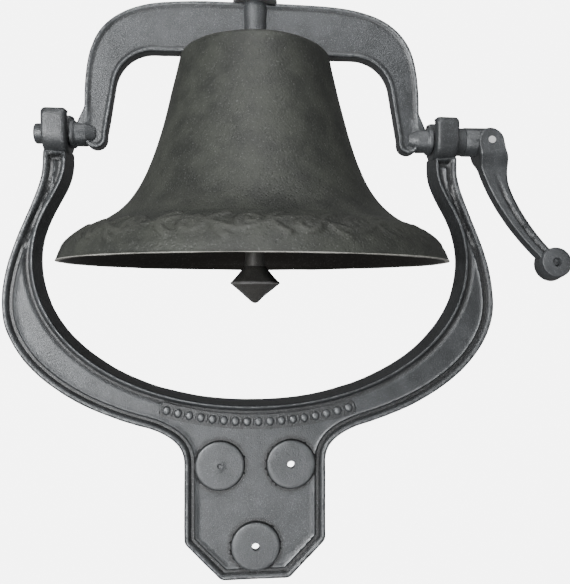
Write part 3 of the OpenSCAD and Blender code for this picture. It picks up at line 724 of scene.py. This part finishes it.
def bracketLines():
    s = bracketShape
    wide = np.array([s["ringOutA"], s["ringOutZ"]])
    waist = np.array([place["saddleOut"] + 1, place["waistZ"]])
    reach = (waist[1] - wide[1]) / 4
    turn = -math.acos((s["plateW"] / 2 + s["fillet"]) / s["ringOutA"])
    last = np.array([wide[0] * math.cos(turn), wide[1] + s["ringOutB"] * math.sin(turn)])
    side = np.array([s["plateW"] / 2, last[1] - s["fillet"]])
    outer = np.vstack([
        [[waist[0], place["neckTopZ"]]],
        bezier(waist, waist - [0, reach], wide + [0, reach * 1.7], wide, 40),
        superArc([0, wide[1]], wide[0], s["ringOutB"], 2, 0, math.degrees(turn), 50)[1:],
        bezier(last, [s["plateW"] / 2 + s["fillet"] / 3, last[1] - s["fillet"] / 4],
               side + [0, s["fillet"] / 2], side, 24)[1:],
        [[s["plateW"] / 2, s["plateCut"] - s["plateDrop"]], [s["plateFoot"] / 2, -s["plateDrop"]]],
    ])
    inWide = np.array([s["ringInA"], s["ringInZ"]])
    inWaist = np.array([place["saddleIn"] - 1, place["waistZ"] + 2])
    reach = (inWaist[1] - inWide[1]) / 3
    inner = np.vstack([
        superArc([0, inWide[1]], inWide[0], s["ringCurve"], 2.06, -90, 0, 90),
        bezier(inWide, inWide + [0, reach * 1.5], inWaist - [0, reach], inWaist, 40)[1:],
        [[inWaist[0], place["neckTopZ"]]],
    ])
    return np.vstack([outer, mirrored(outer)]), np.vstack([mirrored(inner), inner[1:]])


# Turns a stretch of a closed line so that it starts after its gap
def unbroken(line, gap=20):
    steps = np.linalg.norm(np.diff(line, axis=0), axis=1)
    start = int(np.argmax(steps)) + 1
    return np.roll(line, -start, 0) if steps[start - 1] > gap else line


# A saddle is a block with a round underside, open at the top
saddleShape = {"round": 22.0, "slot": 10.08, "leg": 21.5, "corner": 7, "wide": 24.0, "edge": 4.2, "grid": 4.0}


def saddleOn(builder, side):
    s = saddleShape
    r, slot, leg, corner = s["round"], s["slot"], s["leg"], s["corner"]
    outline = np.vstack([
        arc([0, 0], r, 180, 360, 60), [[r, leg - corner]], arc([r - corner, leg - corner], corner, 0, 90, 8),
        [[slot, leg]], arc([0, 0], slot, 0, -180, 40), [[-slot, leg]],
        arc([corner - r, leg - corner], corner, 90, 180, 8)])
    castSlab(builder, roundedLoop(outline, 0.8, 1.6), s["wide"],
             lambda u, v, w: (side * (place["saddleIn"] + w), place["axisY"] + u, place["axisZ"] + v),
             plainFace, plainFace, s["edge"], s["edge"], grid=s["grid"], backGrid=s["grid"])


def bracketPiece():
    s = bracketShape
    outer, inner = bracketLines()
    loop = roundedLoop(np.vstack([outer, inner]), s["corner"], s["spacing"])
    isInner = (distanceTo(loop, inner) < distanceTo(loop, outer)).astype(float)
    blend = smoothLoop(isInner, 2)
    draft = s["outerDraft"] + (s["innerDraft"] - s["outerDraft"]) * blend
    edge = s["outerEdge"] + (s["innerEdge"] - s["outerEdge"]) * blend

    def front(points, lead):
        fromOuter = distanceTo(points, unbroken(lead[isInner < 0.5]))
        fromInner = distanceTo(points, unbroken(lead[isInner > 0.5]))
        rise = np.interp(fromOuter, s["outerAt"], s["outerRise"]) + np.interp(fromInner, s["innerAt"],
                                                                              s["innerRise"])
        # Painted highlight along each border's ridge and bead, painted shade in the grooves beside them
        wear = 0.5 + np.interp(fromOuter, s["outerPaintedLightAt"], s["outerPaintedLight"])
        wear = np.clip(wear + np.interp(fromInner, s["innerPaintedLightAt"], s["innerPaintedLight"]), 0.03, 1)
        plate = np.interp(points[:, 1], s["stepZ"], (1, 0)) * (np.abs(points[:, 0]) < 60) * (fromOuter > 13)
        rise = rise - s["stepDrop"] * plate
        full = s["bossRise"]
        for k, (x, z) in enumerate(s["bosses"]):
            r = np.hypot(points[:, 0] - x, points[:, 1] - z)
            top = np.interp(r, s["bossAt"], (full, full, full - 0.35, full - 1.2, -9))
            if k == 0:  # this boss has a centre mark and no hole
                top = top - np.interp(r, s["markAt"], s["markDepth"]) * (r < 4.7)
            rise = np.maximum(rise, top)
            # Boss tops a little lighter, a painted highlight on their rounded rim and a ring of painted
            # shadow round their foot
            wear = np.where(r < 24.0, 0.56, wear)
            wear = np.where((r > 24.0) & (r < 26.6), 0.04, wear)
            wear = np.where((r > 20.5) & (r < 23.6), 0.68, wear)
        return rise - s["web"], wear

    spots = [(boss, (4.6, 3.8, 2.6, 1.8, 0.8) if k == 0 else (6.0, 4.6))
             for k, boss in enumerate(s["bosses"])]
    spots += [(boss, s["bossAt"][1:] + (26.2,)) for boss in s["bosses"]]
    builder = Builder()
    castSlab(builder, loop, s["thick"], lambda u, v, w: (u, -w, v), front, None, edge, s["backEdge"], draft,
             rows=s["rows"], grid=s["grid"], holes=[(x, z, s["holeR"]) for x, z in s["bosses"][1:]],
             pockets=[(x, z, s["pocketR"]) for x, z in s["bosses"]], spots=spots)
    for side in (-1, 1):
        saddleOn(builder, side)
    mesh = builder.mesh("bracketCasting")
    roughen(mesh, 26, 0.35, 6, 0.12, seed=1)
    for vertex in mesh.vertices:
        vertex.co.z = max(vertex.co.z, place["plateLow"] * mm)
    return addPiece(
        "bracketCasting", mesh, paintedIron, "bracket",
        ["mounting_bracket", "bracket_arm_left", "bracket_arm_right", "saddle_left", "saddle_right"])


bracketPiece()
print("bracket made")


# The headstock's bar, arms and webs in one outline; heights are above the trunnions
headstockShape = {
    "width": 331.6, "gap": 288.6, "rise": 81.0, "bar": 51.5, "thick": 16.0, "lean": 13.5, "cornerR": 38.0,
    "footDrop": 4.0, "webOut": 7.0, "webHigh": 24.0, "neckR": 12.0, "power": 4.1, "edge": 2.2, "web": 2.3,
    "spacing": 2.2, "grid": 2.8, "backGrid": 4.0,
    "riseAt": (0, 3.0, 4.0, 5.6), "riseTo": (2.3, 2.3, 1.3, 0), "rows": (1.2, 2.4, 3.4, 4.2, 5.6, 7.2),
    "paintedLightAt": (0, 1.2, 2.4, 3.6, 4.4, 5.8, 7.5), "paintedLightTo": (-0.15, 0.2, 0.5, 0.2, -0.1, -0.36, 0),
    "bossR": 12.3, "bossFlare": 0.9,
}
trunnionShape = {"radius": 10, "root": 11.4, "rib": 12.3, "collar": 14, "collarBack": 6.4, "end": 7.4}


# A trunnion from inside its arm to its end, with the arm's neck and a collar before the saddle
def trunnion(builder, side, end, start):
    t = trunnionShape
    arm, neck, inn = headstockShape["width"] / 2, headstockShape["neckR"], place["saddleIn"]
    r, collar = t["radius"], t["collar"]
    profile = [(0, start), (8, start), (t["root"], arm - 2.6), (neck, arm - 1.4),
               (neck, inn - t["collarBack"]), (t["rib"], inn - 5.6), (collar - 0.4, inn - 4.4),
               (collar, inn - 3.6), (collar, inn - 1),
               (collar - 0.6, inn - 0.3), (r, inn - 0.3), (r, end - 2.2), (r - 0.4, end - 1),
               (r - 1.4, end - 0.2), (t["end"], end), (0, end)]
    lathe(builder, profile, 72,
          lambda x, y, z: (side * z, place["axisY"] + x, place["axisZ"] + y), 0.5)


def headstockPiece():
    s = headstockShape
    lean = math.atan(s["lean"] / s["rise"])
    cornerZ = s["rise"] - s["cornerR"]
    cornerX = s["gap"] / 2 - cornerZ * math.tan(lean) - s["cornerR"] / math.cos(lean)
    outer = superArc([0, 0], s["width"] / 2, s["rise"] + s["bar"], s["power"], 0, 90, 90)
    foot = -s["footDrop"]
    inner = np.vstack([[[s["gap"] / 2, foot], [s["gap"] / 2, 0]],
                       arc([cornerX, cornerZ], s["cornerR"], math.degrees(lean), 90, 30)])
    lobe = (s["width"] - s["gap"]) / 4
    lobeX = (s["width"] + s["gap"]) / 4
    under = np.vstack([mirrored(inner)[::-1], inner[::-1]])
    bare = np.vstack([[[s["width"] / 2, foot]], outer, mirrored(outer)[1:],
                      arc([-lobeX, foot], lobe, 180, 360, 20), under, arc([lobeX, foot], lobe, 180, 360, 20)])
    webX, webZ = s["width"] / 2 + s["webOut"], s["neckR"] - 2
    right = np.vstack([[[webX, -webZ], [webX, webZ]], outer[outer[:, 1] > s["webHigh"]]])
    loop = np.vstack([right, mirrored(right)[1:], arc([-lobeX, foot], lobe, 200, 360, 18), under,
                      arc([lobeX, foot], lobe, 180, 340, 18)])
    loop = roundedLoop(loop, 1.0, s["spacing"])
    loop[:, 1] += place["axisZ"]
    bare[:, 1] += place["axisZ"]

    def face(points, lead):
        d = np.where(insideLoop(points, bare), distanceTo(points, bare, True), 0)
        rise = np.interp(d, s["riseAt"], s["riseTo"])
        # Painted highlight on the border ridge and painted shade in the groove inside it
        return rise - s["web"], 0.5 + np.interp(d, s["paintedLightAt"], s["paintedLightTo"])

    builder = Builder()
    castSlab(builder, loop, s["thick"], lambda u, v, w: (u, place["axisY"] + s["thick"] / 2 - w, v), face,
             face, s["edge"], s["edge"], rows=s["rows"], grid=s["grid"], backGrid=s["backGrid"])
    z0, z1, r = place["crownZ"], place["barTopZ"], s["bossR"]
    flare = [(r + s["bossFlare"] * t ** 4, z0 + 1 + (z1 - z0 - 2.2) * t) for t in np.linspace(0, 1, 14)]
    boss = [(0, z0), (r - 0.8, z0), (r, z0 + 0.8)] + flare + [(r + 0.1, z1), (0, z1)]
    lathe(builder, boss, 64, upright, 0.62)
    trunnion(builder, -1, -lowSide("headstock", "X"), lobeX)
    trunnion(builder, 1, highSide("headstock", "X"), lobeX)
    mesh = builder.mesh("headstockCasting")
    roughen(mesh, 24, 0.3, 6, 0.1, seed=2)
    return addPiece("headstockCasting", mesh, paintedIron, "bell_assembly", ["headstock"])


headstockPiece()
print("headstock made")


# The bell's radii and heights are from its rim; the vine is drawn round its lip
bellShape = {
    "mouthR": 189.0, "height": 207.0, "wall": 8.0, "rim": 6.0, "crown": 9.0, "boreR": 8.3, "segments": 560,
    "shoulder": (75, 199.0), "cornerR": 8, "lip": (155, 33.5), "slope": (2.15, -1), "bandRise": 0.8,
}
vineShape = {"radius": 170, "repeats": 12, "rise": 1.5, "stroke": 4.8, "uneven": 0.55, "seed": 4, "stem": 29,
             "sway": 7.5}


# One repeat of the vine: u runs round the bell and d up from its rim
def scrollMotif(body, fromRim):
    s = vineShape
    length = 2 * math.pi * s["radius"] / s["repeats"]

    def onBell(u, d):
        r = np.interp(d, fromRim[::-1], body[::-1, 0]) - 0.3
        z = np.interp(d, fromRim[::-1], body[::-1, 1])
        a = u / s["radius"]
        return (r * math.cos(a), r * math.sin(a), z)

    def curl(u, d, big, small, start, turns, steps=46):
        t = np.linspace(0, 1, steps)
        r = big + (small - big) * t ** 0.8
        a = np.radians(start) + 2 * math.pi * turns * t
        return np.stack([u * length + r * np.cos(a), d + r * np.sin(a)], 1)

    def leaf(*points):
        return bezier(*([u * length, d] for u, d in points), 10)

    u = np.linspace(0, length, 60)
    lines = [np.stack([u, s["stem"] + s["sway"] * np.sin(2 * math.pi * u / length)], 1),
             curl(0.33, 27, 11.5, 2.6, 75, -1.3), curl(0.83, 32, 11.0, 2.6, 255, -1.25),
             leaf((0.04, 31), (0.06, 24), (0.1, 20), (0.16, 17)),
             leaf((0.47, 31), (0.5, 36), (0.55, 41), (0.62, 43)),
             leaf((0.55, 25), (0.56, 20), (0.6, 17), (0.66, 14)),
             leaf((0.02, 33), (0.05, 39), (0.1, 43), (0.15, 45))]
    mesh = linesMesh("scrollMotif", [[onBell(*p) for p in line] for line in lines])
    return bpy.data.objects.new("scrollMotif", mesh)


def bellPiece():
    s = bellShape
    shoulder, lip, slope = (np.array(s[key]) for key in ("shoulder", "lip", "slope"))
    mouth = s["mouthR"]
    rim = np.array([mouth, 0.0])
    body = np.vstack([bezier(shoulder, [99, 91.1], lip - 20 * slope, lip, 200),
                      bezier(lip, lip + 9 * slope, rim + [-7.5, 17], rim, 80)[1:]])
    along = np.r_[0, np.cumsum(np.linalg.norm(np.diff(body, axis=0), axis=1))]
    step, at = [], 0.0
    while at < along[-1]:
        z = np.interp(at, along, body[:, 1])
        step.append(at)
        at += 1.6 if z < 66 else 4.0  # finer where the vine is
    step.append(along[-1])
    body = np.stack([np.interp(step, along, body[:, k]) for k in (0, 1)], 1)
    direction = np.gradient(body, axis=0)
    direction /= np.linalg.norm(direction, axis=1)[:, None]
    out = np.stack([direction[:, 1], -direction[:, 0]], 1)
    thick = np.linspace(s["wall"], s["rim"], len(body))
    inner = body + out * thick[:, None]
    inner[:, 1] = np.maximum(inner[:, 1], 0)
    inner = resample(inner[inner[:, 1] > 0.4], 6.0, False)
    fromRim = along[-1] - np.array(step)
    swell = np.interp(fromRim, (3, 10, 50, 55), (0, s["bandRise"], s["bandRise"], 0))
    body = body - out * swell[:, None]
    h, bore = s["height"], s["boreR"]
    inside = h - s["crown"]
    profile = np.vstack([
        [[bore, inside], [bore, h], [30, h], [50, h]],
        arc(shoulder - [s["cornerR"], 0], s["cornerR"], 90, 0, 8), body[1:-1],
        [[mouth - 0.4, 1.2], [mouth, 0.5], [mouth - 0.4, 0.05], [mouth - 4.6, 0], [mouth - 5.6, 0.5]],
        inner[::-1], [[inner[0][0] - 6, inside], [30, inside]]])
    shell = len(profile) - len(inner) - 2
    # The rim is lighter, rubbed bare; the bore's foot and the whole inside of the bell get painted shade,
    # near-black
    wear = [0.0] + [0.5] * (shell - 6) + [0.75, 1.0, 1.0, 0.9, 0.4] + [0.0] * (len(inner) + 2)
    builder = Builder()
    lathe(builder, profile, s["segments"],
          lambda x, y, z: (x, place["axisY"] + y, place["rimZ"] + z), wear, closedProfile=True)
    mesh = builder.mesh("bellTurned")
    vine = vineShape
    mesh = shaped(mesh, scrollBandTree(), {
        "Motif": scrollMotif(body, fromRim), "Repeats": vine["repeats"], "Rise": vine["rise"] * mm,
        "Stroke Width": vine["stroke"] * mm, "Unevenness": vine["uneven"], "Seed": vine["seed"],
        "Material": bellIron})
    roughen(mesh, 42, 0.5, 14, 0.2, seed=3)
    return addPiece("bellCasting", mesh, bellIron, "bell_assembly", ["bell"])


bellPiece()
print("bell made")


# A row of beads along the bracket's lower arc
beadRow = {
    "radius": 332.0, "centre": (3.0, 414.5), "halfAngle": 16.6, "beads": 17, "bead": (4.9, 2.4, 4.2),
    "bar": (5.4, 1.3, 1.6), "ribbonWidth": 14.5, "ribbonRise": 1.6, "front": -22.5,
    "paintedLightAt": (0.2, 1.0, 1.8, 2.4), "wear": (0.1, 0.16, 0.6, 0.9),
}


def ornamentPiece():
    s = beadRow
    start = bpy.data.meshes.new("ornamentStart")
    mesh = shaped(start, beadRowTree(), {
        "Radius": s["radius"] * mm, "Half Angle": math.radians(s["halfAngle"]), "Beads": s["beads"],
        "Bead Size": s["bead"], "Bar Size": s["bar"], "Ribbon Width": s["ribbonWidth"] * mm,
        "Ribbon Rise": s["ribbonRise"] * mm, "Material": paintedIron})
    flat = np.zeros(len(mesh.vertices) * 3)
    mesh.vertices.foreach_get("co", flat)
    x, y, z = flat.reshape(-1, 3).T
    placed = np.stack([x + s["centre"][0] * mm, s["front"] * mm - z, y + s["centre"][1] * mm], 1)
    mesh.vertices.foreach_set("co", placed.ravel())
    attribute = mesh.attributes.new("wear", "FLOAT", "POINT")
    # Painted shade low between the beads, painted highlight on their tops
    height = s["front"] - placed[:, 1] / mm
    attribute.data.foreach_set("value", np.interp(height, s["paintedLightAt"], s["wear"]).astype(np.float32))
    work = bmesh.new()
    work.from_mesh(mesh)
    bmesh.ops.recalc_face_normals(work, faces=work.faces)
    work.to_mesh(mesh)
    work.free()
    roughen(mesh, 7, 0.25, seed=6)
    return addPiece("bracketOrnament", mesh, paintedIron, "bracket", sharp=60)


ornamentPiece()
print("ornament made")


# The lever's places are from the trunnion's axis; its groove is given across the arm, from -1 to 1
leverShape = {
    "hubR": 14.75, "boreR": 10.1, "headDrop": 2.5, "reach": 61.5, "drop": 127.0, "lean": 9.0, "thick": 12.5,
    "endWidth": 14.0, "shoulder": 4.6, "padR": 15.5, "padBack": 17.0, "padT": 18.0, "hole": 3.0,
    "edge": 2.0, "grid": 1.8,
    "acrossAt": (-1, -0.75, -0.15, 0.02, 0.18, 0.36, 0.6, 1),
    "depth": (-0.6, -0.1, -0.2, -1.9, -1.9, 0.25, -0.1, -1.2),
    "fadeAt": (0, 0.2, 0.36, 0.9, 1), "fade": (0, 0.1, 1, 1, 0.5),
}


def leverPiece():
    s = leverShape
    lean = math.radians(-s["lean"])
    headX = (lowSide("lever_pin", "X") + highSide("lever_pin", "X")) / 2
    hubX = lowSide("pull_lever", "X")
    hubR, drop = s["hubR"], s["headDrop"]

    def leaning(x, y, z):
        return (headX + x, place["axisY"] + y * math.cos(lean) - z * math.sin(lean),
                place["axisZ"] + y * math.sin(lean) + z * math.cos(lean))

    spine = bezier([0, -drop], [0, -0.41 * s["drop"]], [0.52 * s["reach"], -0.79 * s["drop"]],
                   [s["reach"], -s["drop"]], 60)
    along = np.gradient(spine, axis=0)
    along /= np.linalg.norm(along, axis=1)[:, None]
    side = np.stack([-along[:, 1], along[:, 0]], 1)
    t = np.linspace(0, 1, len(spine))
    half = s["endWidth"] / 2 + (hubR - 0.5 - s["endWidth"] / 2) * (1 - t) ** 1.9
    bulge = s["shoulder"] * np.exp(-((t - 0.16) / 0.1) ** 2)
    right, left = spine + side * (half + bulge)[:, None], spine - side * half[:, None]
    head = arc([0, -drop], hubR - 0.5, 0, 180, 24)
    outline = np.vstack([head, left[1:], spine[-1:] + along[-1] * 4, right[:0:-1]])
    outline = roundedLoop(outline, 1.0, 1.5)

    # The head is as deep as the hub, and the arm below it is thin
    def swell(v):
        a = np.clip((v + 30) / 16, 0, 1)
        return 1 + (2 * hubR / s["thick"] - 1) * a * a * (3 - 2 * a)

    def face(points, lead):
        gap = np.linalg.norm(points[:, None] - spine[None], axis=2)
        k = gap.argmin(1)
        across = ((points - spine[k]) * side[k]).sum(1) / half[k]
        depth = np.interp(across, s["acrossAt"], s["depth"]) * np.interp(t[k], s["fadeAt"], s["fade"])
        # Painted shade in the arm's groove and at its edges, a little painted highlight on the ridge beside
        # the groove
        return depth, np.clip(0.5 + 0.25 * depth, 0.05, 0.8)

    builder = Builder()
    castSlab(builder, outline, s["thick"],
             lambda u, v, w: leaning(u, (s["thick"] / 2 - w) * swell(v), v), face, face, s["edge"], s["edge"],
             grid=s["grid"], backGrid=s["grid"])
    front, back, deep, hole = s["padR"], s["padBack"], s["padT"] / 2, s["hole"]
    pad = [(hole + 0.8, 1.2 - deep), (hole + 1.6, -deep), (front - 1.2, -deep), (front - 0.3, 0.5 - deep),
           (front, 1.6 - deep), (back - 0.2, deep - 1.4), (back - 0.9, deep - 0.4), (back - 2, deep),
           (hole, deep)]
    lathe(builder, pad, 72, lambda x, y, z: leaning(s["reach"] + x, z, y - s["drop"]), 0.5,
          closedProfile=True)
    bore = s["boreR"]
    hub = [(bore, hubX), (hubR - 0.8, hubX), (hubR, hubX + 0.8), (hubR, headX - 1), (bore, headX - 1)]
    lathe(builder, hub, 72, lambda x, y, z: (z, place["axisY"] + x, place["axisZ"] + y), 0.5,
          closedProfile=True)
    mesh = builder.mesh("pullLever")
    roughen(mesh, 16, 0.25, 5, 0.08, seed=4)
    return addPiece("pullLever", mesh, paintedIron, "bell_assembly", ["pull_lever"], sharp=50)


leverPiece()
print("lever made")


# The clapper's ball: two cones that meet in an edge with a painted highlight, from the edge's middle
clapperShape = {
    "drop": 19, "spacing": 0.9, "facets": 6, "facetDepth": 0.012, "highlightBand": 2.2,
    "profile": ((0, -20.5), (1.6, -20.2), (3.4, -19.2), (13, -10.6), (22.6, -2.4), (24.2, -1.1), (25, -0.2),
                (24.7, 0.7), (23.2, 2), (17, 9.2), (11.3, 16.2), (10.8, 17), (0, 17)),
}


def clapperPiece():
    s = clapperShape
    ballZ = place["rimZ"] - s["drop"]
    profile = resample(s["profile"], s["spacing"], False)
    # A painted highlight along the edge where the cones meet; the rest a little darker
    worn = [0.5 + max(0, 1 - abs(z - 0.2) / s["highlightBand"]) * 0.5 if r > 20 else 0.45 for r, z in profile]

    def faceted(x, y, z):
        turn = s["facets"] * math.atan2(y, x)
        k = 1 - s["facetDepth"] * (1 - math.cos(turn)) * max(0, 1 - abs(z) / 18)
        return upright(x * k, y * k, ballZ + z)

    builder = Builder()
    lathe(builder, profile, 96, faceted, worn)
    mesh = builder.mesh("clapperBall")
    roughen(mesh, 12, 0.5, 4, 0.2, seed=5)
    return addPiece("clapperBall", mesh, clapperIron, "clapper", ["clapper_ball"])


clapperPiece()
print("clapper made")


# Washers, nuts and the bolt with its fork, on the bell's axis
crownShape = {
    "top": place["barTopZ"], "washerR": 22.0, "washerT": 4.0, "nutAf": 24.0, "nutH": 13.0, "lockH": 8.0,
    "tail": 5.0, "boltR": 8.0, "pitch": 2.0, "threadDepth": 1.1, "inner": place["crownZ"] - 12, "innerT": 3.0,
    "innerR": 20.0, "pivotZ": place["crownZ"] - 42, "forkW": 25.6, "slot": 12.6, "cheekR": 10.95,
    "forkD": 22.0, "eyeR": 11.0, "forkGrid": 1.6,
}


def washer(name, z, thick, outerR, node):
    innerR, top = crownShape["boltR"] + 0.3, z + thick
    profile = [(innerR, z), (outerR - 0.5, z), (outerR, z + 0.5), (outerR, top - 0.5), (outerR - 0.5, top),
               (innerR, top)]
    builder = Builder()
    lathe(builder, profile, 96, upright, 0.55, closedProfile=True)
    mesh = builder.mesh(name)
    roughen(mesh, 14, 0.08, seed=7)
    return addPiece(name, mesh, zincSteel, "bell_assembly", [node], sharp=30)


def hexNut(name, z, high, node):
    bore, flat, count = crownShape["boltR"] + 0.05, crownShape["nutAf"] / 2, 72
    angles = np.linspace(0, 2 * math.pi, count, endpoint=False)
    reach = flat / np.cos((angles + math.pi / 6) % (math.pi / 3) - math.pi / 6)
    cone = flat * 0.98
    drop = np.maximum(reach - cone, 0) * 0.55
    rings = [(bore, 1.0), (bore + 0.95, 0), (cone, 0), (reach, drop), (reach, high - drop), (cone, high),
             (bore + 0.95, high), (bore, high - 1.0)]
    rings = [(np.broadcast_to(r, count), np.broadcast_to(h, count)) for r, h in rings]
    verts = [upright(r * math.cos(a), r * math.sin(a), z + h)
             for rs, hs in rings for r, h, a in zip(rs, hs, angles)]
    last = (len(rings) - 1) * count
    faces = rowFaces(len(rings), count)
    faces += [(last + i, last + (i + 1) % count, (i + 1) % count, i) for i in range(count)]
    builder = Builder()
    # The faces and flats are lighter; towards the bore darker, painted shade in the hole
    builder.add(verts, faces, np.repeat((0.2, 0.4, 0.8, 0.8, 0.8, 0.8, 0.4, 0.2), count))
    return addPiece(name, builder.mesh(name), zincSteel, "bell_assembly", [node], sharp=25)


def crownPieces():
    s = crownShape
    washer("crownWasher", s["top"], s["washerT"], s["washerR"], "crown_washer")
    washer("innerWasher", s["inner"], s["innerT"], s["innerR"], "inner_washer")
    nutZ = s["top"] + s["washerT"]
    hexNut("crownNut", nutZ, s["nutH"], "crown_nut")
    hexNut("crownLockNut", nutZ + s["nutH"], s["lockH"], "crown_lock_nut")
    end = nutZ + s["nutH"] + s["lockH"] + s["tail"]
    start, threadLow, r = s["inner"] - 4, s["top"] - 6, s["boltR"]
    heights = np.r_[np.linspace(start, threadLow, 10)[:-1], np.arange(threadLow, end - 1.2, 0.25)]
    profile = [(0, start)] + [(r, z) for z in heights] + [(r - 0.3, end - 1.0), (r - 1.2, end), (0, end)]
    builder = Builder()
    lathe(builder, profile, 48, upright, 0.5)
    stem = shaped(builder.mesh("boltStem"), rolledThreadTree(), {
        "Pitch": s["pitch"] * mm, "Depth": s["threadDepth"] * mm, "Low End": threadLow * mm,
        "High End": (end - 0.6) * mm, "Material": zincSteel})
    work = Builder()
    half, slot = s["forkW"] / 2, s["slot"] / 2
    down, up = s["pivotZ"] - s["eyeR"], s["pivotZ"] + s["eyeR"] + 4
    outline = [[-half, s["inner"]], [-half, down], [-slot, down], [-slot, up],
               [slot, up], [slot, down], [half, down], [half, s["inner"]]]
    castSlab(work, roundedLoop(outline, 0.8, 1.2), s["forkD"],
             lambda u, v, w: upright(u, s["forkD"] / 2 - w, v), plainFace, plainFace, 1.0, 1.0,
             grid=s["forkGrid"], backGrid=s["forkGrid"])
    fork = work.mesh("boltFork")
    pivot = Vector((0, place["axisY"] * mm, s["pivotZ"] * mm))
    for vertex in fork.vertices:  # the cheeks end in a half round about the pin, clear of the swinging rod
        across = vertex.co - pivot
        across.x = 0
        if across.z < 0 and across.length > s["cheekR"] * mm:
            vertex.co += across * (s["cheekR"] * mm / across.length - 1)
    joined = bmesh.new()
    joined.from_mesh(stem)
    joined.from_mesh(fork)
    mesh = bpy.data.meshes.new("crownBolt")
    joined.to_mesh(mesh)
    joined.free()
    return addPiece("crownBolt", mesh, zincSteel, "bell_assembly", ["crown_bolt"], sharp=35)


crownPieces()
print("small parts made")

# Small parts that keep their machined shape have no attribute of painted highlight and shade, so their looks
# leave the crest highlight and groove shade out
plainIron = ironMaterial("plainIron", dict(paintedLook, grooveMix=0.0, crestMix=0.0))
plainZinc = ironMaterial("plainZinc", dict(steelLook, grooveMix=0.0, crestMix=0.0))
plainFinish = {
    "clapper_rod": ironMaterial("plainClapper", dict(clapperLook, grooveMix=0.0, crestMix=0.0)),
    "lever_pin": ironMaterial("plainBright", dict(brightLook, grooveMix=0.0, crestMix=0.0)),
    "clapper_pin": plainZinc, "clapper_cotter": plainZinc,
}
for name, node in frame["nodes"].items():
    node.data.materials.clear()
    node.data.materials.append(plainFinish.get(name, plainIron))


# A pale floor that bends up into a wall, soft lights and pale air; the air lights the bell by `airLight`
studio = {"floorZ": -1.9, "floorFront": -5, "wallY": 6.0, "width": 9.5, "bend": 1.0, "top": 4.2, "glow": 6.0,
          "airLight": 0.22}
lights = {  # place, aim, size in metres and power in watts
    "keyLight": ((-0.75, -1.05, 0.35), (-0.1, 0, 0.15), (0.6, 0.6), 26),
    "frontLight": ((0.0, -1.3, 1.3), (0, 0, 0.25), (0.9, 0.4), 12),
    "fillLight": ((1.6, -1.4, 0.7), (0, 0, 0.2), (0.5, 1.2), 6),
    "lowLight": ((-0.15, -1.1, -0.3), (0, 0, 0.06), (0.7, 0.35), 8),
    "topLight": ((0.0, -0.5, 1.9), (0, 0, 0.3), (1.0, 0.4), 10),
}
view = {"place": (-0.026, -0.65225, 0.210), "turn": -5, "lens": 640 / 584 * 36, "sensor": 36}


def backdrop():
    s = studio
    bend = [(s["wallY"] - s["bend"] + s["bend"] * math.sin(a), s["floorZ"] + s["bend"] * (1 - math.cos(a)))
            for a in np.linspace(0, math.pi / 2, 16)]
    for name, profile in (("studioFloor", [(s["floorFront"], s["floorZ"])] + bend[:1]),
                          ("studioWall", bend + [(s["wallY"], s["top"])])):
        verts = [(x, y, z) for y, z in profile for x in (-s["width"] / 2, s["width"] / 2)]
        faces = [(2 * i, 2 * i + 1, 2 * i + 3, 2 * i + 2) for i in range(len(profile) - 1)]
        mesh = bpy.data.meshes.new(name)
        mesh.from_pydata(verts, [], faces)
        mesh.shade_smooth()
        material, n, shader = startMaterial(name)
        shader.inputs["Base Color"].default_value = grey(0.92)
        shader.inputs["Roughness"].default_value = 0.95
        shader.inputs["Emission Color"].default_value = grey(1)
        shader.inputs["Emission Strength"].default_value = s["glow"]
        mesh.materials.append(material)
        piece = bpy.data.objects.new(name, mesh)
        piece.visible_glossy = False
        piece.visible_diffuse = False
        bpy.context.scene.collection.objects.link(piece)


def areaLight(name, where, target, size, power):
    data = bpy.data.lights.new(name, "AREA")
    data.shape = "RECTANGLE"
    data.size, data.size_y = size
    data.energy = power
    light = bpy.data.objects.new(name, data)
    light.location = where
    light.rotation_euler = (Vector(target) - Vector(where)).to_track_quat("-Z", "Y").to_euler()
    bpy.context.scene.collection.objects.link(light)


def paleAir():
    world = bpy.data.worlds.new("studioAir")
    world.use_nodes = True
    n = Nodes(world.node_tree)
    background = world.node_tree.nodes["Background"]
    background.inputs["Color"].default_value = grey(1)
    seen = n.add("ShaderNodeLightPath").outputs["Is Camera Ray"]
    strength = n.add("ShaderNodeMapRange", {"Value": seen, "To Min": studio["airLight"],
                                            "To Max": studio["glow"]}).outputs["Result"]
    world.node_tree.links.new(strength, background.inputs["Strength"])
    bpy.context.scene.world = world


def addCamera():
    data = bpy.data.cameras.new("frontView")
    data.lens = view["lens"]
    data.sensor_width = view["sensor"]
    data.clip_end = 50
    camera = bpy.data.objects.new("frontView", data)
    camera.location = view["place"]
    camera.rotation_euler = (math.radians(90), 0, math.radians(view["turn"]))
    bpy.context.scene.collection.objects.link(camera)
    bpy.context.scene.camera = camera


backdrop()
for name, settings in lights.items():
    areaLight(name, *settings)
paleAir()
addCamera()
print("studio made")
